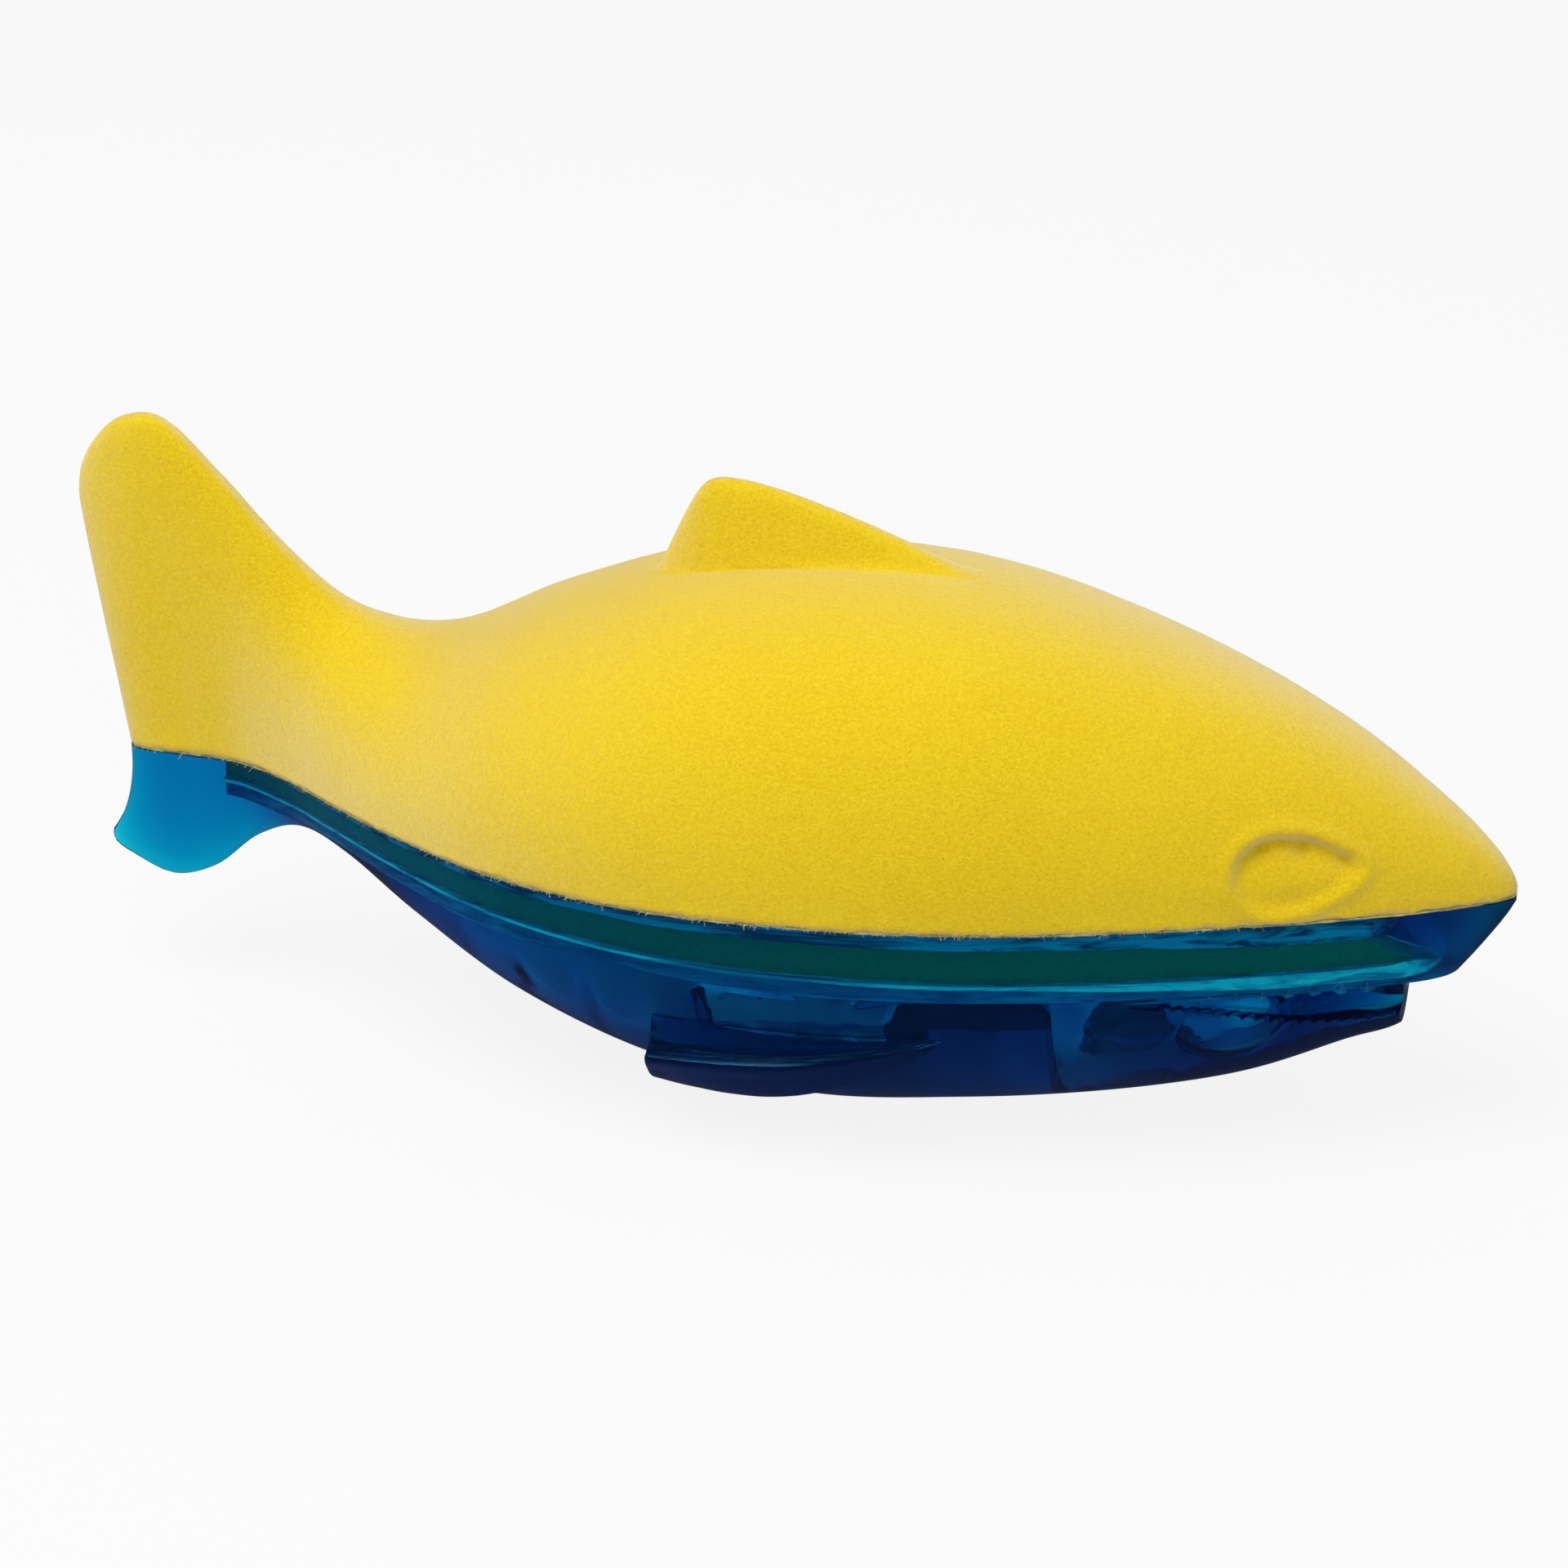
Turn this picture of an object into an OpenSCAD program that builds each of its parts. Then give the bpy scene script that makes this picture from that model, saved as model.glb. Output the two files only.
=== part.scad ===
// Squeaky fish toy: a soft foam back glued on a hollow see-through rubber belly with a squeaker.
// The nose points along +X, up is +Z, and the belly rests on Z = 0.

/* [Body] */
// Length from the nose to the rear of the tail
length = 190; // [150:1:240]
// Greatest width, at the seam between the foam and the rubber
beam = 65; // [56:1:80]
// Crown of the back above the seam
back_h = 36.6; // [30:0.1:48]
// Keel of the belly below the seam, before the resting face is cut
belly_d = 36.5; // [33:0.1:46]
// Depth cut off the keel for the resting face
rest_cut = 1.3; // [0.5:0.1:2.5]

/* [Tail] */
// Tip of the upper tail lobe above the seam
tail_h = 46.6; // [35:0.1:60]
// Lowest point of the lower tail lobe below the seam
lobe_d = 20; // [12:1:26]
// Thickness of the tail blade
tail_t = 7; // [5:0.5:10]

/* [Fins] */
// Length of the dorsal fin's base
dorsal_l = 54; // [40:1:65]
// Tip of the dorsal fin above the crown of the back
dorsal_h = 9; // [5:0.1:14]
// Thickness of the dorsal fin
dorsal_t = 7; // [4:0.5:10]
// Length of a pectoral fin
pectoral_l = 38; // [28:1:46]
// Height of a pectoral fin at its blunt rear end
pectoral_h = 14.5; // [9:0.5:17]
// How far a pectoral fin's lower edge stands off the belly
pectoral_out = 5; // [2.5:0.1:7]

/* [Eyes and mouth] */
// Length of an eye
eye_l = 17; // [12:0.5:19]
// Depth of the groove around an eye
eye_d = 1; // [0.6:0.1:1.6]
// Length of the mouth from its corner to the front of the lower jaw
mouth_l = 32; // [24:1:36]
// Opening of the mouth at the front of the lower jaw
mouth_h = 6; // [4:0.5:8]
// Depth of the mouth groove in the cheeks
mouth_d = 2.4; // [1.5:0.1:3]
// Height of the front upper tooth
tooth_h = 1.2; // [0.8:0.1:2]
// Diameter of a lower tooth
bead_d = 2; // [1.4:0.1:2.4]

/* [Foam tongue] */
// Width of the rubber rim around the tongue
rim_w = 3.2; // [2.4:0.1:4.5]
// Depth of the tongue below the foam's flat face
tongue_d = 8; // [6:0.5:11]
// Depth of the tongue's narrower neck
neck_d = 3.2; // [2:0.1:4.5]
// Step on each side between the neck and the wider bead below it
neck_step = 1.6; // [0.8:0.1:2.5]
// Width of the ledge that the tongue sits on
ledge_w = 3; // [2:0.1:4.5]
// Thickness of the adhesive film
glue_t = 0.4; // [0.2:0.1:0.8]

/* [Air chamber] */
// Wall of the belly under the air chamber
floor_t = 4; // [3:0.1:5.5]
// Length of the air chamber
chamber_l = 122; // [90:1:126]

/* [Squeaker] */
// Diameter of the squeaker's flange
flange_d = 12.6; // [10.5:0.1:15]
// Thickness of the flange
flange_t = 1.4; // [1:0.1:2]
// Diameter of the barrel held in the rubber boss
barrel_d = 9; // [8:0.1:10]
// Length of the barrel
barrel_l = 4.8; // [4:0.1:6]
// Diameter of the stem above the barrel
stem_d = 5.6; // [5.4:0.1:7]
// Length of the stem
stem_l = 5; // [4.5:0.1:6]
// Bore of the stem and barrel
bore_d = 4.4; // [4:0.1:4.6]
// Air hole through the flange
vent_d = 3; // [2:0.1:3.5]
// Diameter of the cap ring
cap_d = 10; // [8.5:0.1:12]
// Thickness of the cap ring
cap_t = 1.5; // [1:0.1:2.5]
// Room between the cap and the wall of the air chamber, on each side
cap_room = 4.8; // [3:0.1:8]
// Height of the flange's outer face above the resting face
flange_z = 5.6; // [5:0.1:7]
// Width of the reed
reed_w = 2.2; // [1.6:0.1:2.4]
// Thickness of the reed
reed_t = 0.25; // [0.15:0.05:0.35]
// Free length of the reed above its clamp
reed_l = 4.4; // [3:0.1:5]
// Length of the reed held in its clamp
clamp_l = 1.2; // [0.8:0.1:1.6]
// How far the reed sits below the end of the stem
reed_sink = 0.6; // [0.4:0.1:1]

/* [Fit] */
// Clearance around the tongue in its recess
tongue_gap = 0.3; // [0.2:0.05:0.6]
// Clearance of the squeaker's parts in their bores
part_gap = 0.05; // [0.03:0.01:0.1]
// Clearance on each side of the reed at its clamp
reed_gap = 0.15; // [0.12:0.01:0.25]

/* [Hidden] */

// Overrun of every cut past the face that it leaves through
over = 1;
// Heights of the seam and of the foam's flat face above it
seam_z = belly_d - rest_cut;
foam_z = seam_z + glue_t;

// Rows below go from the tail to the nose. Places along the body are shares of half the length.
seam_x_shares = [-0.943, -0.938, -0.926, -0.895, -0.83, -0.76, -0.68, -0.59, -0.475, -0.32,
    -0.13, 0.08, 0.29, 0.485, 0.655, 0.79, 0.89, 0.955, 0.989, 1];
// The sweep of the tail's upper and lower edges behind the seam
back_x_shares = [-1, -0.994, -0.972, -0.93, -0.87, -0.79, -0.7, -0.6, -0.475, -0.32,
    -0.13, 0.08, 0.29, 0.485, 0.655, 0.79, 0.89, 0.955, 0.989, 1];
keel_x_shares = [-0.984, -0.979, -0.95, -0.89, -0.825, -0.757, -0.68, -0.59, -0.475, -0.32,
    -0.13, 0.08, 0.29, 0.485, 0.655, 0.79, 0.865, 0.93, 0.975, 1];
// Half widths at the seam: the body in shares of the half beam, the tail blade of its half thickness
beam_shares = [0, 0, 0, 0, 0.005, 0.035, 0.15, 0.35, 0.61, 0.86,
    0.985, 0.99, 0.905, 0.745, 0.56, 0.39, 0.245, 0.135, 0.06, 0.02];
blade_shares = [0.3, 0.6, 0.85, 1, 1, 1, 1, 0.8, 0.3, 0,
    0, 0, 0, 0, 0, 0, 0, 0, 0, 0];
// Heights over the seam: the back in shares of its crown, the tail in shares of its tip
back_shares = [0, 0, 0, 0, 0, 0.05, 0.18, 0.335, 0.495, 0.735,
    0.91, 0.99, 0.97, 0.85, 0.69, 0.51, 0.33, 0.19, 0.085, 0.03];
tail_shares = [0.73, 0.82, 0.91, 0.985, 0.985, 0.79, 0.49, 0.215, 0.045, 0,
    0, 0, 0, 0, 0, 0, 0, 0, 0, 0];
// Depths under the seam: the belly in shares of its keel, the tail in shares of the lower lobe
keel_shares = [0, 0, 0, 0, 0, 0.035, 0.135, 0.295, 0.505, 0.735,
    0.915, 1, 0.955, 0.88, 0.77, 0.61, 0.52, 0.3, 0.125, 0.02];
lobe_shares = [0.7, 0.78, 0.86, 0.965, 0.86, 0.52, 0.2, 0.03, 0, 0,
    0, 0, 0, 0, 0, 0, 0, 0, 0, 0];
// How sharply the flanks draw in above the seam: 1 is an ellipse, more is a waist under the blade
waist_shares = [1, 1, 1, 2, 3, 4, 3, 1.7, 1.05, 0.95,
    0.95, 0.95, 0.95, 0.95, 0.95, 0.95, 0.95, 0.95, 0.95, 0.95];
// Powers that round the crown and the edge of the tail blade
crown_share = 0.95;
blade_round_share = 0.57;
keel_sweep_share = 2.5;

// Sides of a half ring, and rings between two rows
ring_n = 24;
row_n = 3;

rows = [for (i = [0 : len(seam_x_shares) - 1]) [
    seam_x_shares[i] * length / 2,
    beam_shares[i] * beam / 2,
    blade_shares[i] * tail_t / 2,
    back_x_shares[i] * length / 2,
    back_shares[i] * back_h + tail_shares[i] * tail_h,
    keel_x_shares[i] * length / 2,
    keel_shares[i] * belly_d + lobe_shares[i] * lobe_d,
    waist_shares[i]]];
last = len(rows) - 1;

// A smooth curve through b and c, with a and d as the neighbours that set its slopes
function spline(a, b, c, d, t) =
    b + t / 2 * ((c - a) + t * ((2 * a - 5 * b + 4 * c - d) + t * (3 * (b - c) + d - a)));

stations = [
    for (i = [0 : last - 1], j = [0 : row_n - 1])
        spline(rows[max(i - 1, 0)], rows[i], rows[i + 1], rows[min(i + 2, last)], j / row_n),
    rows[last]];

// Half width at the seam and depth of the keel at a place along the body
seam_table = [for (s = stations) [s[0], s[1] + s[2]]];
keel_table = [for (s = stations) [s[0], s[6]]];
function half_at(x) = lookup(x, seam_table);
function keel_at(x) = lookup(x, keel_table);
// Half width of the belly at a depth under the seam
function belly_at(x, depth) =
    half_at(x) * sqrt(max(0, 1 - pow(min(1, depth / keel_at(x)), 2 / crown_share)));

// One half ring over the body, from its right side over the top to its left side
function arch(s, tip_x, rise, sweep, waist) = [
    for (j = [0 : ring_n]) let (
        c = abs(cos(180 * j / ring_n)),
        t = pow(sin(180 * j / ring_n), crown_share),
        half = s[2] * pow(c, blade_round_share) + s[1] * pow(c, waist))
    [s[0] + (tip_x - s[0]) * pow(t, sweep), sign(j - ring_n / 2) * half, rise * t]];

// A closed skin over rings with the same number of points, flat at both ends
module skin(rings) {
    n = len(rings);
    m = len(rings[0]);
    sides = [for (i = [0 : n - 2], j = [0 : m - 1]) let (
        a = i * m + j, b = i * m + (j + 1) % m, c = a + m, d = b + m)
        each [[a, b, c], [b, d, c]]];
    function strip(o) = [for (j = [0 : floor((m - 1) / 2) - 1]) let (
        a = o + j, b = o + j + 1, c = o + m - 2 - j, d = o + m - 1 - j)
        each b == c ? [[a, b, d]] : [[a, b, d], [b, c, d]]];
    front = strip((n - 1) * m);
    rear = [for (f = strip(0)) [f[0], f[2], f[1]]];
    polyhedron([for (r = rings) each r], concat(sides, rear, front));
}

// Tongue, recess and air chamber run between these places
tongue_front_share = 0.837;
tongue_rear_share = -0.8;
tongue_front = tongue_front_share * length / 2;
tongue_rear = tongue_rear_share * length / 2;
tongue_n = 30;
// The tongue is shallower towards the tail
tongue_shares = [[-1, 0.42], [-0.6, 0.52], [-0.33, 0.75], [0, 0.95], [0.3, 1], [1, 1]];
function tongue_at(x) = lookup(2 * x / length, tongue_shares);
recess_d = tongue_d - glue_t + tongue_gap;

// One tier of the tongue or of its recess: a slab that follows the seam, a gap and a step inside the rim
module tier(gap, step, top, bottom) {
    rear = tongue_rear + gap;
    front = tongue_front - gap;
    skin([for (i = [0 : tongue_n]) let (
        x = rear + (front - rear) * i / tongue_n,
        bead = max(half_at(x) - rim_w - gap, 2 * tongue_gap - gap),
        half = max(bead - step, bead / 2),
        low = foam_z - (foam_z - bottom) * tongue_at(x),
        high = foam_z - (foam_z - top) * tongue_at(x))
        [[x, -half, high], [x, half, high], [x, half, low], [x, -half, low]]]);
}

module dorsal_fin() {
    // Profile: places in shares of the base, heights in shares of the whole fin with its root
    profile_shares = [[-0.5, 0], [-0.465, 0.27], [-0.425, 0.55], [-0.388, 0.78], [-0.362, 0.91],
        [-0.335, 0.98], [-0.29, 1], [-0.2, 0.965], [-0.06, 0.85], [0.08, 0.71], [0.22, 0.53],
        [0.36, 0.28], [0.5, 0]];
    // Powers that keep the fin's sides thick up to its rim and out to its two ends
    round_share = 0.5;
    end_share = 4;
    root = back_h / 4;
    place_share = 0.095;
    fin_n = 28;
    side_n = 10;
    mid = place_share * length / 2;
    base = foam_z + back_h - root;
    skin([for (i = [0 : fin_n]) let (
        u = -0.5 + i / fin_n,
        h = max(lookup(u, profile_shares), part_gap) * (root + dorsal_h),
        t = dorsal_t / 2 * pow(1 - pow(abs(2 * u), end_share), round_share) + part_gap)
        [for (j = [0 : side_n]) let (c = abs(cos(180 * j / side_n)), s = sin(180 * j / side_n))
            [mid + u * dorsal_l, sign(j - side_n / 2) * t * pow(c, round_share),
                base + h * pow(s, round_share)]]]);
}

// The eye: a groove in the outline of a drop, round behind and pointed in front
eye_x_share = 0.725;
eye_z_share = 0.165;
eye_h_share = 0.74;
eye_rim_share = 0.14;
// Power that draws the front end of the drop to a point
eye_point_share = 0.6;
eye_n = 24;
function drop(size) = [for (i = [0 : eye_n - 1]) let (a = 360 * i / eye_n)
    [size / 2 * cos(a), size / 2 * eye_h_share * sin(a) * pow(sin(a / 2), eye_point_share)]];

// Seat of the eye on the cheek: its centre on the foam's surface and the way the surface faces
eye_x = eye_x_share * length / 2;
eye_rise = eye_z_share * back_h;
crown_table = [for (s = stations) [s[0], s[4]]];
function cheek_at(x, rise) = half_at(x)
    * pow(max(0, 1 - pow(min(1, rise / lookup(x, crown_table)), 2 / crown_share)), crown_share / 2);
eye_y = cheek_at(eye_x, eye_rise);
eye_turn = atan2(cheek_at(eye_x - eye_l / 2, eye_rise) - cheek_at(eye_x + eye_l / 2, eye_rise), eye_l);
eye_tip = atan2(cheek_at(eye_x, eye_rise - eye_l / 4) - cheek_at(eye_x, eye_rise + eye_l / 4), eye_l / 2);

module eye_groove() {
    translate([eye_x, -eye_y, foam_z + eye_rise])
        rotate([90 - eye_tip, 0, eye_turn])
        translate([0, 0, -eye_d])
        linear_extrude(eye_d + back_h / 4)
        difference() {
            polygon(drop(eye_l));
            polygon(drop(eye_l * (1 - 2 * eye_rim_share)));
        }
}

module foam_back() {
    color("gold")
    difference() {
        union() {
            translate([0, 0, foam_z])
                skin([for (s = stations) arch(s, s[3], s[4], 1, s[7])]);
            dorsal_fin();
            tier(tongue_gap, neck_step, foam_z + over, foam_z - neck_d - over);
            tier(tongue_gap, 0, foam_z - neck_d, foam_z - tongue_d);
        }
        for (side = [0, 1])
            mirror([0, side, 0])
            eye_groove();
    }
}

module glue_seam() {
    outer = [for (s = stations) [s[0], s[1] + s[2]]];
    inner_x = [for (i = [0 : tongue_n]) tongue_rear + (tongue_front - tongue_rear) * i / tongue_n];
    inner = [for (x = inner_x) [x, max(half_at(x) - rim_w, 2 * tongue_gap)]];
    color("lightyellow")
    translate([0, 0, seam_z])
    linear_extrude(glue_t)
    difference() {
        polygon(concat(outer, [for (i = [len(outer) - 1 : -1 : 0]) [outer[i][0], -outer[i][1]]]));
        polygon(concat(inner, [for (i = [len(inner) - 1 : -1 : 0]) [inner[i][0], -inner[i][1]]]));
    }
}

// The air chamber: a bowl under the ledge, round at both ends
chamber_x_share = 0.055;
chamber_x = chamber_x_share * length / 2;
chamber_n = 26;
chamber_side_n = 14;
// Powers that round the two ends, and the share of the length at which they are closed flat
chamber_blunt_share = 6;
chamber_round_share = 0.42;
chamber_close_share = 0.985;
// Its cross-sections, each as a place along the body, half width, top and depth
chamber_rows = [for (i = [0 : chamber_n]) let (
    u = chamber_close_share * (2 * i / chamber_n - 1),
    x = chamber_x + u * chamber_l / 2,
    swell = pow(1 - pow(abs(u), chamber_blunt_share), chamber_round_share),
    top = foam_z - tongue_d * tongue_at(x) + over)
    [x, (half_at(x) - rim_w - ledge_w) * swell, top,
        max(keel_at(x) - floor_t - (seam_z - top), over) * swell]];
module air_chamber() {
    skin([for (r = chamber_rows)
        [for (j = [0 : chamber_side_n])
            [r[0], r[1] * cos(180 * j / chamber_side_n), r[2] - r[3] * sin(180 * j / chamber_side_n)]]]);
}

// The squeaker stands on the belly's floor, as far forward as the chamber leaves room for its cap
barrel_z = flange_z + flange_t;
stem_z = barrel_z + barrel_l;
function half_width(r, z) = r[1] * sqrt(max(0, 1 - pow((r[2] - z) / r[3], 2)));
squeaker_x = lookup(-cap_d / 2 - cap_room,
    [for (i = [chamber_n / 2 : chamber_n]) [-half_width(chamber_rows[i], stem_z), chamber_rows[i][0]]]);

// The bell of rubber that grips the squeaker's barrel
module boss() {
    wall_share = 0.22;
    foot_share = 0.7;
    flare_share = 0.75;
    bell_h = barrel_l + flange_t;
    foot_r = foot_share * flange_d;
    top_r = barrel_d / 2 + wall_share * barrel_d;
    bell_n = 6;
    translate([squeaker_x, 0, stem_z - bell_h])
        rotate_extrude($fn = 48)
        polygon(concat([[0, -over], [foot_r, -over]],
            [for (i = [0 : bell_n]) let (a = 90 * i / bell_n)
                [foot_r - (foot_r - top_r) * sin(a), flare_share * bell_h * (1 - cos(a))]],
            [[top_r, bell_h], [0, bell_h]]));
}

// The mouth: its corner, and its upper and lower lips as depths under the seam
lip_share = 0.28;
mouth_front = 0.862 * length / 2;
mouth_rear = mouth_front - mouth_l;
lip_d = lip_share * belly_d;
lower_lip_shares = [[0, 0.12], [0.35, 0.5], [0.6, 0.85], [0.85, 1], [1, 0.95]];
function lower_lip_at(u) = lip_d + mouth_h * lookup(u, lower_lip_shares);
mouth_n = 12;
// The groove grows into a slot right through at the front
slot_shares = [[0, 0.2], [0.3, 0.9], [0.65, 1], [0.8, 1.9], [0.92, 6], [1, 9]];

module mouth_cut() {
    skin([for (i = [0 : mouth_n]) let (
        u = i / mouth_n,
        x = mouth_rear + u * mouth_l,
        low = lower_lip_at(u),
        skin_y = belly_at(x, lip_d),
        deep = max(skin_y - mouth_d * lookup(u, slot_shares), -over),
        low_deep = max(belly_at(x, low) - mouth_d * lookup(u, slot_shares), -over))
        [[x, -skin_y - tooth_h - over, seam_z - lip_d], [x, -deep, seam_z - lip_d],
            [x, -min(deep, low_deep), seam_z - low], [x, -skin_y - tooth_h - over, seam_z - low]]]);
}
// The snout reaches ahead of the lower jaw, which ends in a blunt face
module jaw_cut() {
    translate([mouth_front - part_gap, -beam / 2, 0])
        cube([length / 2, beam, seam_z - lip_d]);
}

// Upper teeth: a row of pointed ridges on the cheek over the upper lip, larger towards the front
tooth_n = 7;
module upper_teeth() {
    rear_share = 0.3;
    front_share = 0.88;
    small_share = 0.5;
    width_share = 1.7;
    for (i = [0 : tooth_n - 1]) {
        u = i / (tooth_n - 1);
        size = tooth_h * (small_share + (1 - small_share) * u);
        x = mouth_rear + mouth_l * (rear_share + (front_share - rear_share) * u);
        translate([x, -belly_at(x, lip_d), seam_z - lip_d - part_gap])
            cylinder(h = size + part_gap, d1 = width_share * size, d2 = 0, $fn = 4);
    }
}

// Lower teeth: a row of slanting beads along the lower lip
bead_n = 14;
module lower_teeth() {
    rear_share = 0.14;
    front_share = 0.94;
    inset_share = 0.35;
    sink_share = 0.1;
    tall_share = 1.3;
    lean = 35;
    for (i = [0 : bead_n - 1]) {
        u = rear_share + (front_share - rear_share) * i / (bead_n - 1);
        x = mouth_rear + u * mouth_l;
        low = lower_lip_at(u);
        translate([x, -belly_at(x, low) + inset_share * bead_d, seam_z - low - sink_share * bead_d])
            rotate([0, lean, 0])
            cylinder(h = tall_share * bead_d, d = bead_d, center = true, $fn = 6);
    }
}

// A pectoral fin: a leaf on the flank, pointed in front and blunt behind
pectoral_front_share = 0.29;
pectoral_top_share = 0.43;
module pectoral_fin() {
    front = pectoral_front_share * length / 2;
    top = pectoral_top_share * belly_d;
    leaf_shares = [[0, 0.02], [0.1, 0.24], [0.25, 0.48], [0.45, 0.77], [0.6, 0.91], [0.75, 0.98], [1, 1.06]];
    // The rear end leans back towards its lower corner
    rake_share = 0.058;
    // The fin stands off least at its front tip, and most at its rear end
    tip_share = 0.12;
    flare_share = 0.7;
    root = pectoral_out / 2;
    fin_n = 16;
    // Across the leaf: depth as a share of its height, stand-off as a share of the lower edge's
    across_shares = [[1, 1], [0.85, 0.98], [0.55, 0.72], [0.28, 0.62], [0.12, 0.36], [0, 0.06]];
    skin([for (i = [0 : fin_n]) let (
        u = 1 - i / fin_n,
        x = front - u * pectoral_l,
        h = pectoral_h * lookup(u, leaf_shares),
        out = pectoral_out * (tip_share + (1 - tip_share) * pow(u, flare_share)),
        rake = rake_share * u * pectoral_l)
        concat(
            [for (p = across_shares) let (z = top + p[0] * h)
                [x - rake * (p[0] - 1 / 2), -belly_at(x, z) - p[1] * out, seam_z - z]],
            [[x + rake / 2, -belly_at(x, top) + root, seam_z - top],
                [x - rake / 2, -belly_at(x, top + h) + root, seam_z - top - h]])]);
}

module rubber_belly() {
    color("dodgerblue", 0.6)
    difference() {
        union() {
            translate([0, 0, seam_z])
                skin([for (s = stations)
                    [for (p = arch(s, s[5], s[6], keel_sweep_share, 1)) [p[0], -p[1], -p[2]]]]);
            for (side = [0, 1])
                mirror([0, side, 0]) {
                    pectoral_fin();
                    upper_teeth();
                }
        }
        tier(0, 0, seam_z + over, seam_z - recess_d);
        difference() {
            air_chamber();
            boss();
        }
        for (side = [0, 1])
            mirror([0, side, 0])
            difference() {
                mouth_cut();
                lower_teeth();
            }
        jaw_cut();
        translate([squeaker_x, 0, -over])
            cylinder(h = stem_z + 2 * over, d = barrel_d + 2 * part_gap, $fn = 48);
        translate([squeaker_x, 0, -over])
            cylinder(h = barrel_z + over, d = flange_d + 2 * part_gap, $fn = 48);
        translate([-length, -beam, -belly_d])
            cube([2 * length, 2 * beam, belly_d]);
    }
}

module squeaker_case() {
    color("white")
    translate([squeaker_x, 0, flange_z])
    difference() {
        union() {
            cylinder(h = flange_t, d = flange_d, $fn = 48);
            cylinder(h = flange_t + barrel_l, d = barrel_d, $fn = 48);
            cylinder(h = flange_t + barrel_l + stem_l, d = stem_d, $fn = 48);
        }
        translate([0, 0, -over])
            cylinder(h = flange_t + 2 * over, d = vent_d, $fn = 32);
        translate([0, 0, flange_t])
            cylinder(h = barrel_l + stem_l + over, d = bore_d, $fn = 32);
    }
}

module squeaker_cap() {
    color("whitesmoke")
    translate([squeaker_x, 0, stem_z])
    difference() {
        cylinder(h = cap_t, d = cap_d, $fn = 48);
        translate([0, 0, -over])
            cylinder(h = cap_t + 2 * over, d = stem_d + 2 * part_gap, $fn = 48);
    }
}

// The reed assembly fills the top of the bore. The reed lies along the axis and swings across Y.
assembly_l = clamp_l + reed_l;
assembly_z = stem_z + stem_l - reed_sink - assembly_l;
collar_t = bore_d / 12;
collar_r = bore_d / 2 - part_gap;
bed_r = collar_r - collar_t - part_gap;

module reed_bed() {
    channel_share = 0.45;
    color("white")
    translate([squeaker_x, 0, assembly_z])
    difference() {
        cylinder(h = assembly_l, r = bed_r, $fn = 32);
        translate([-bore_d, 0, -over])
            cube([2 * bore_d, bore_d, assembly_l + 2 * over]);
        translate([0, 0, clamp_l])
            cylinder(h = assembly_l, r = bed_r * channel_share, $fn = 24);
    }
}

module reed_collar() {
    clamp_y = 2 * reed_gap + reed_t;
    color("white")
    translate([squeaker_x, 0, assembly_z])
    difference() {
        cylinder(h = assembly_l, r = collar_r, $fn = 32);
        translate([0, 0, clamp_l])
            cylinder(h = assembly_l, r = collar_r - collar_t, $fn = 32);
        intersection() {
            translate([0, 0, -over])
                cylinder(h = clamp_l + 2 * over, r = collar_r - collar_t, $fn = 32);
            translate([-bore_d, clamp_y - 2 * bore_d, -over])
                cube([2 * bore_d, 2 * bore_d, clamp_l + 2 * over]);
        }
    }
}

module reed() {
    color("silver")
    translate([squeaker_x - reed_w / 2, reed_gap, assembly_z])
        cube([reed_w, reed_t, assembly_l]);
}

foam_back();
glue_seam();
rubber_belly();
squeaker_case();
squeaker_cap();
reed_bed();
reed_collar();
reed();
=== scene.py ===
"""A squeaky fish toy: a flocked foam back on a hollow see-through rubber belly with a squeaker."""
import random
from collections import namedtuple
from math import acos, atan2, ceil, copysign, cos, exp, hypot, pi, radians, sin, sqrt

import bmesh
import bpy
from bpy.props import FloatProperty, FloatVectorProperty, IntProperty, PointerProperty
from mathutils import Matrix, Vector, noise
from mathutils.kdtree import KDTree


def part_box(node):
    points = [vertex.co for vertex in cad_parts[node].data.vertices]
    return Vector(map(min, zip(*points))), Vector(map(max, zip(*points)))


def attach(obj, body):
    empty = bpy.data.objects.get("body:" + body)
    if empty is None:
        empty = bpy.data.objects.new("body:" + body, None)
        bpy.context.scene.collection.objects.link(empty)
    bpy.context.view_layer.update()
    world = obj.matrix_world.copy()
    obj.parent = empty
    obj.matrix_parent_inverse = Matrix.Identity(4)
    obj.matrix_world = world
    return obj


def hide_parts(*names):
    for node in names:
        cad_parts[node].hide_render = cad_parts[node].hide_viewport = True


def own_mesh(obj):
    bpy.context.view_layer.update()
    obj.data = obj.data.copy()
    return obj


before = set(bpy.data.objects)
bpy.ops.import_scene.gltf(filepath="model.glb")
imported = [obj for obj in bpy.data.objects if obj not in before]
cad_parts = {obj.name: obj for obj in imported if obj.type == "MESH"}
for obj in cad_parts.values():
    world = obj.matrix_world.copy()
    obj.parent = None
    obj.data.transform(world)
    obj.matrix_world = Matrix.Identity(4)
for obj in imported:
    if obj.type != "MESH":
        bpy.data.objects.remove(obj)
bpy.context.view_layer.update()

bl_info = {
    "name": "Squeaky Fish Toy",
    "version": (1, 0, 0),
    "blender": (4, 5, 0),
    "location": "3D View > Sidebar > Fish Toy",
    "description": "Models a foam and rubber squeaky fish toy round its construction frame",
    "category": "Object",
}

MM = 0.001
WELD = MM / 1000
SEAM_Z, FOAM_Z = (corner.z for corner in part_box("glue_seam"))

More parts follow.
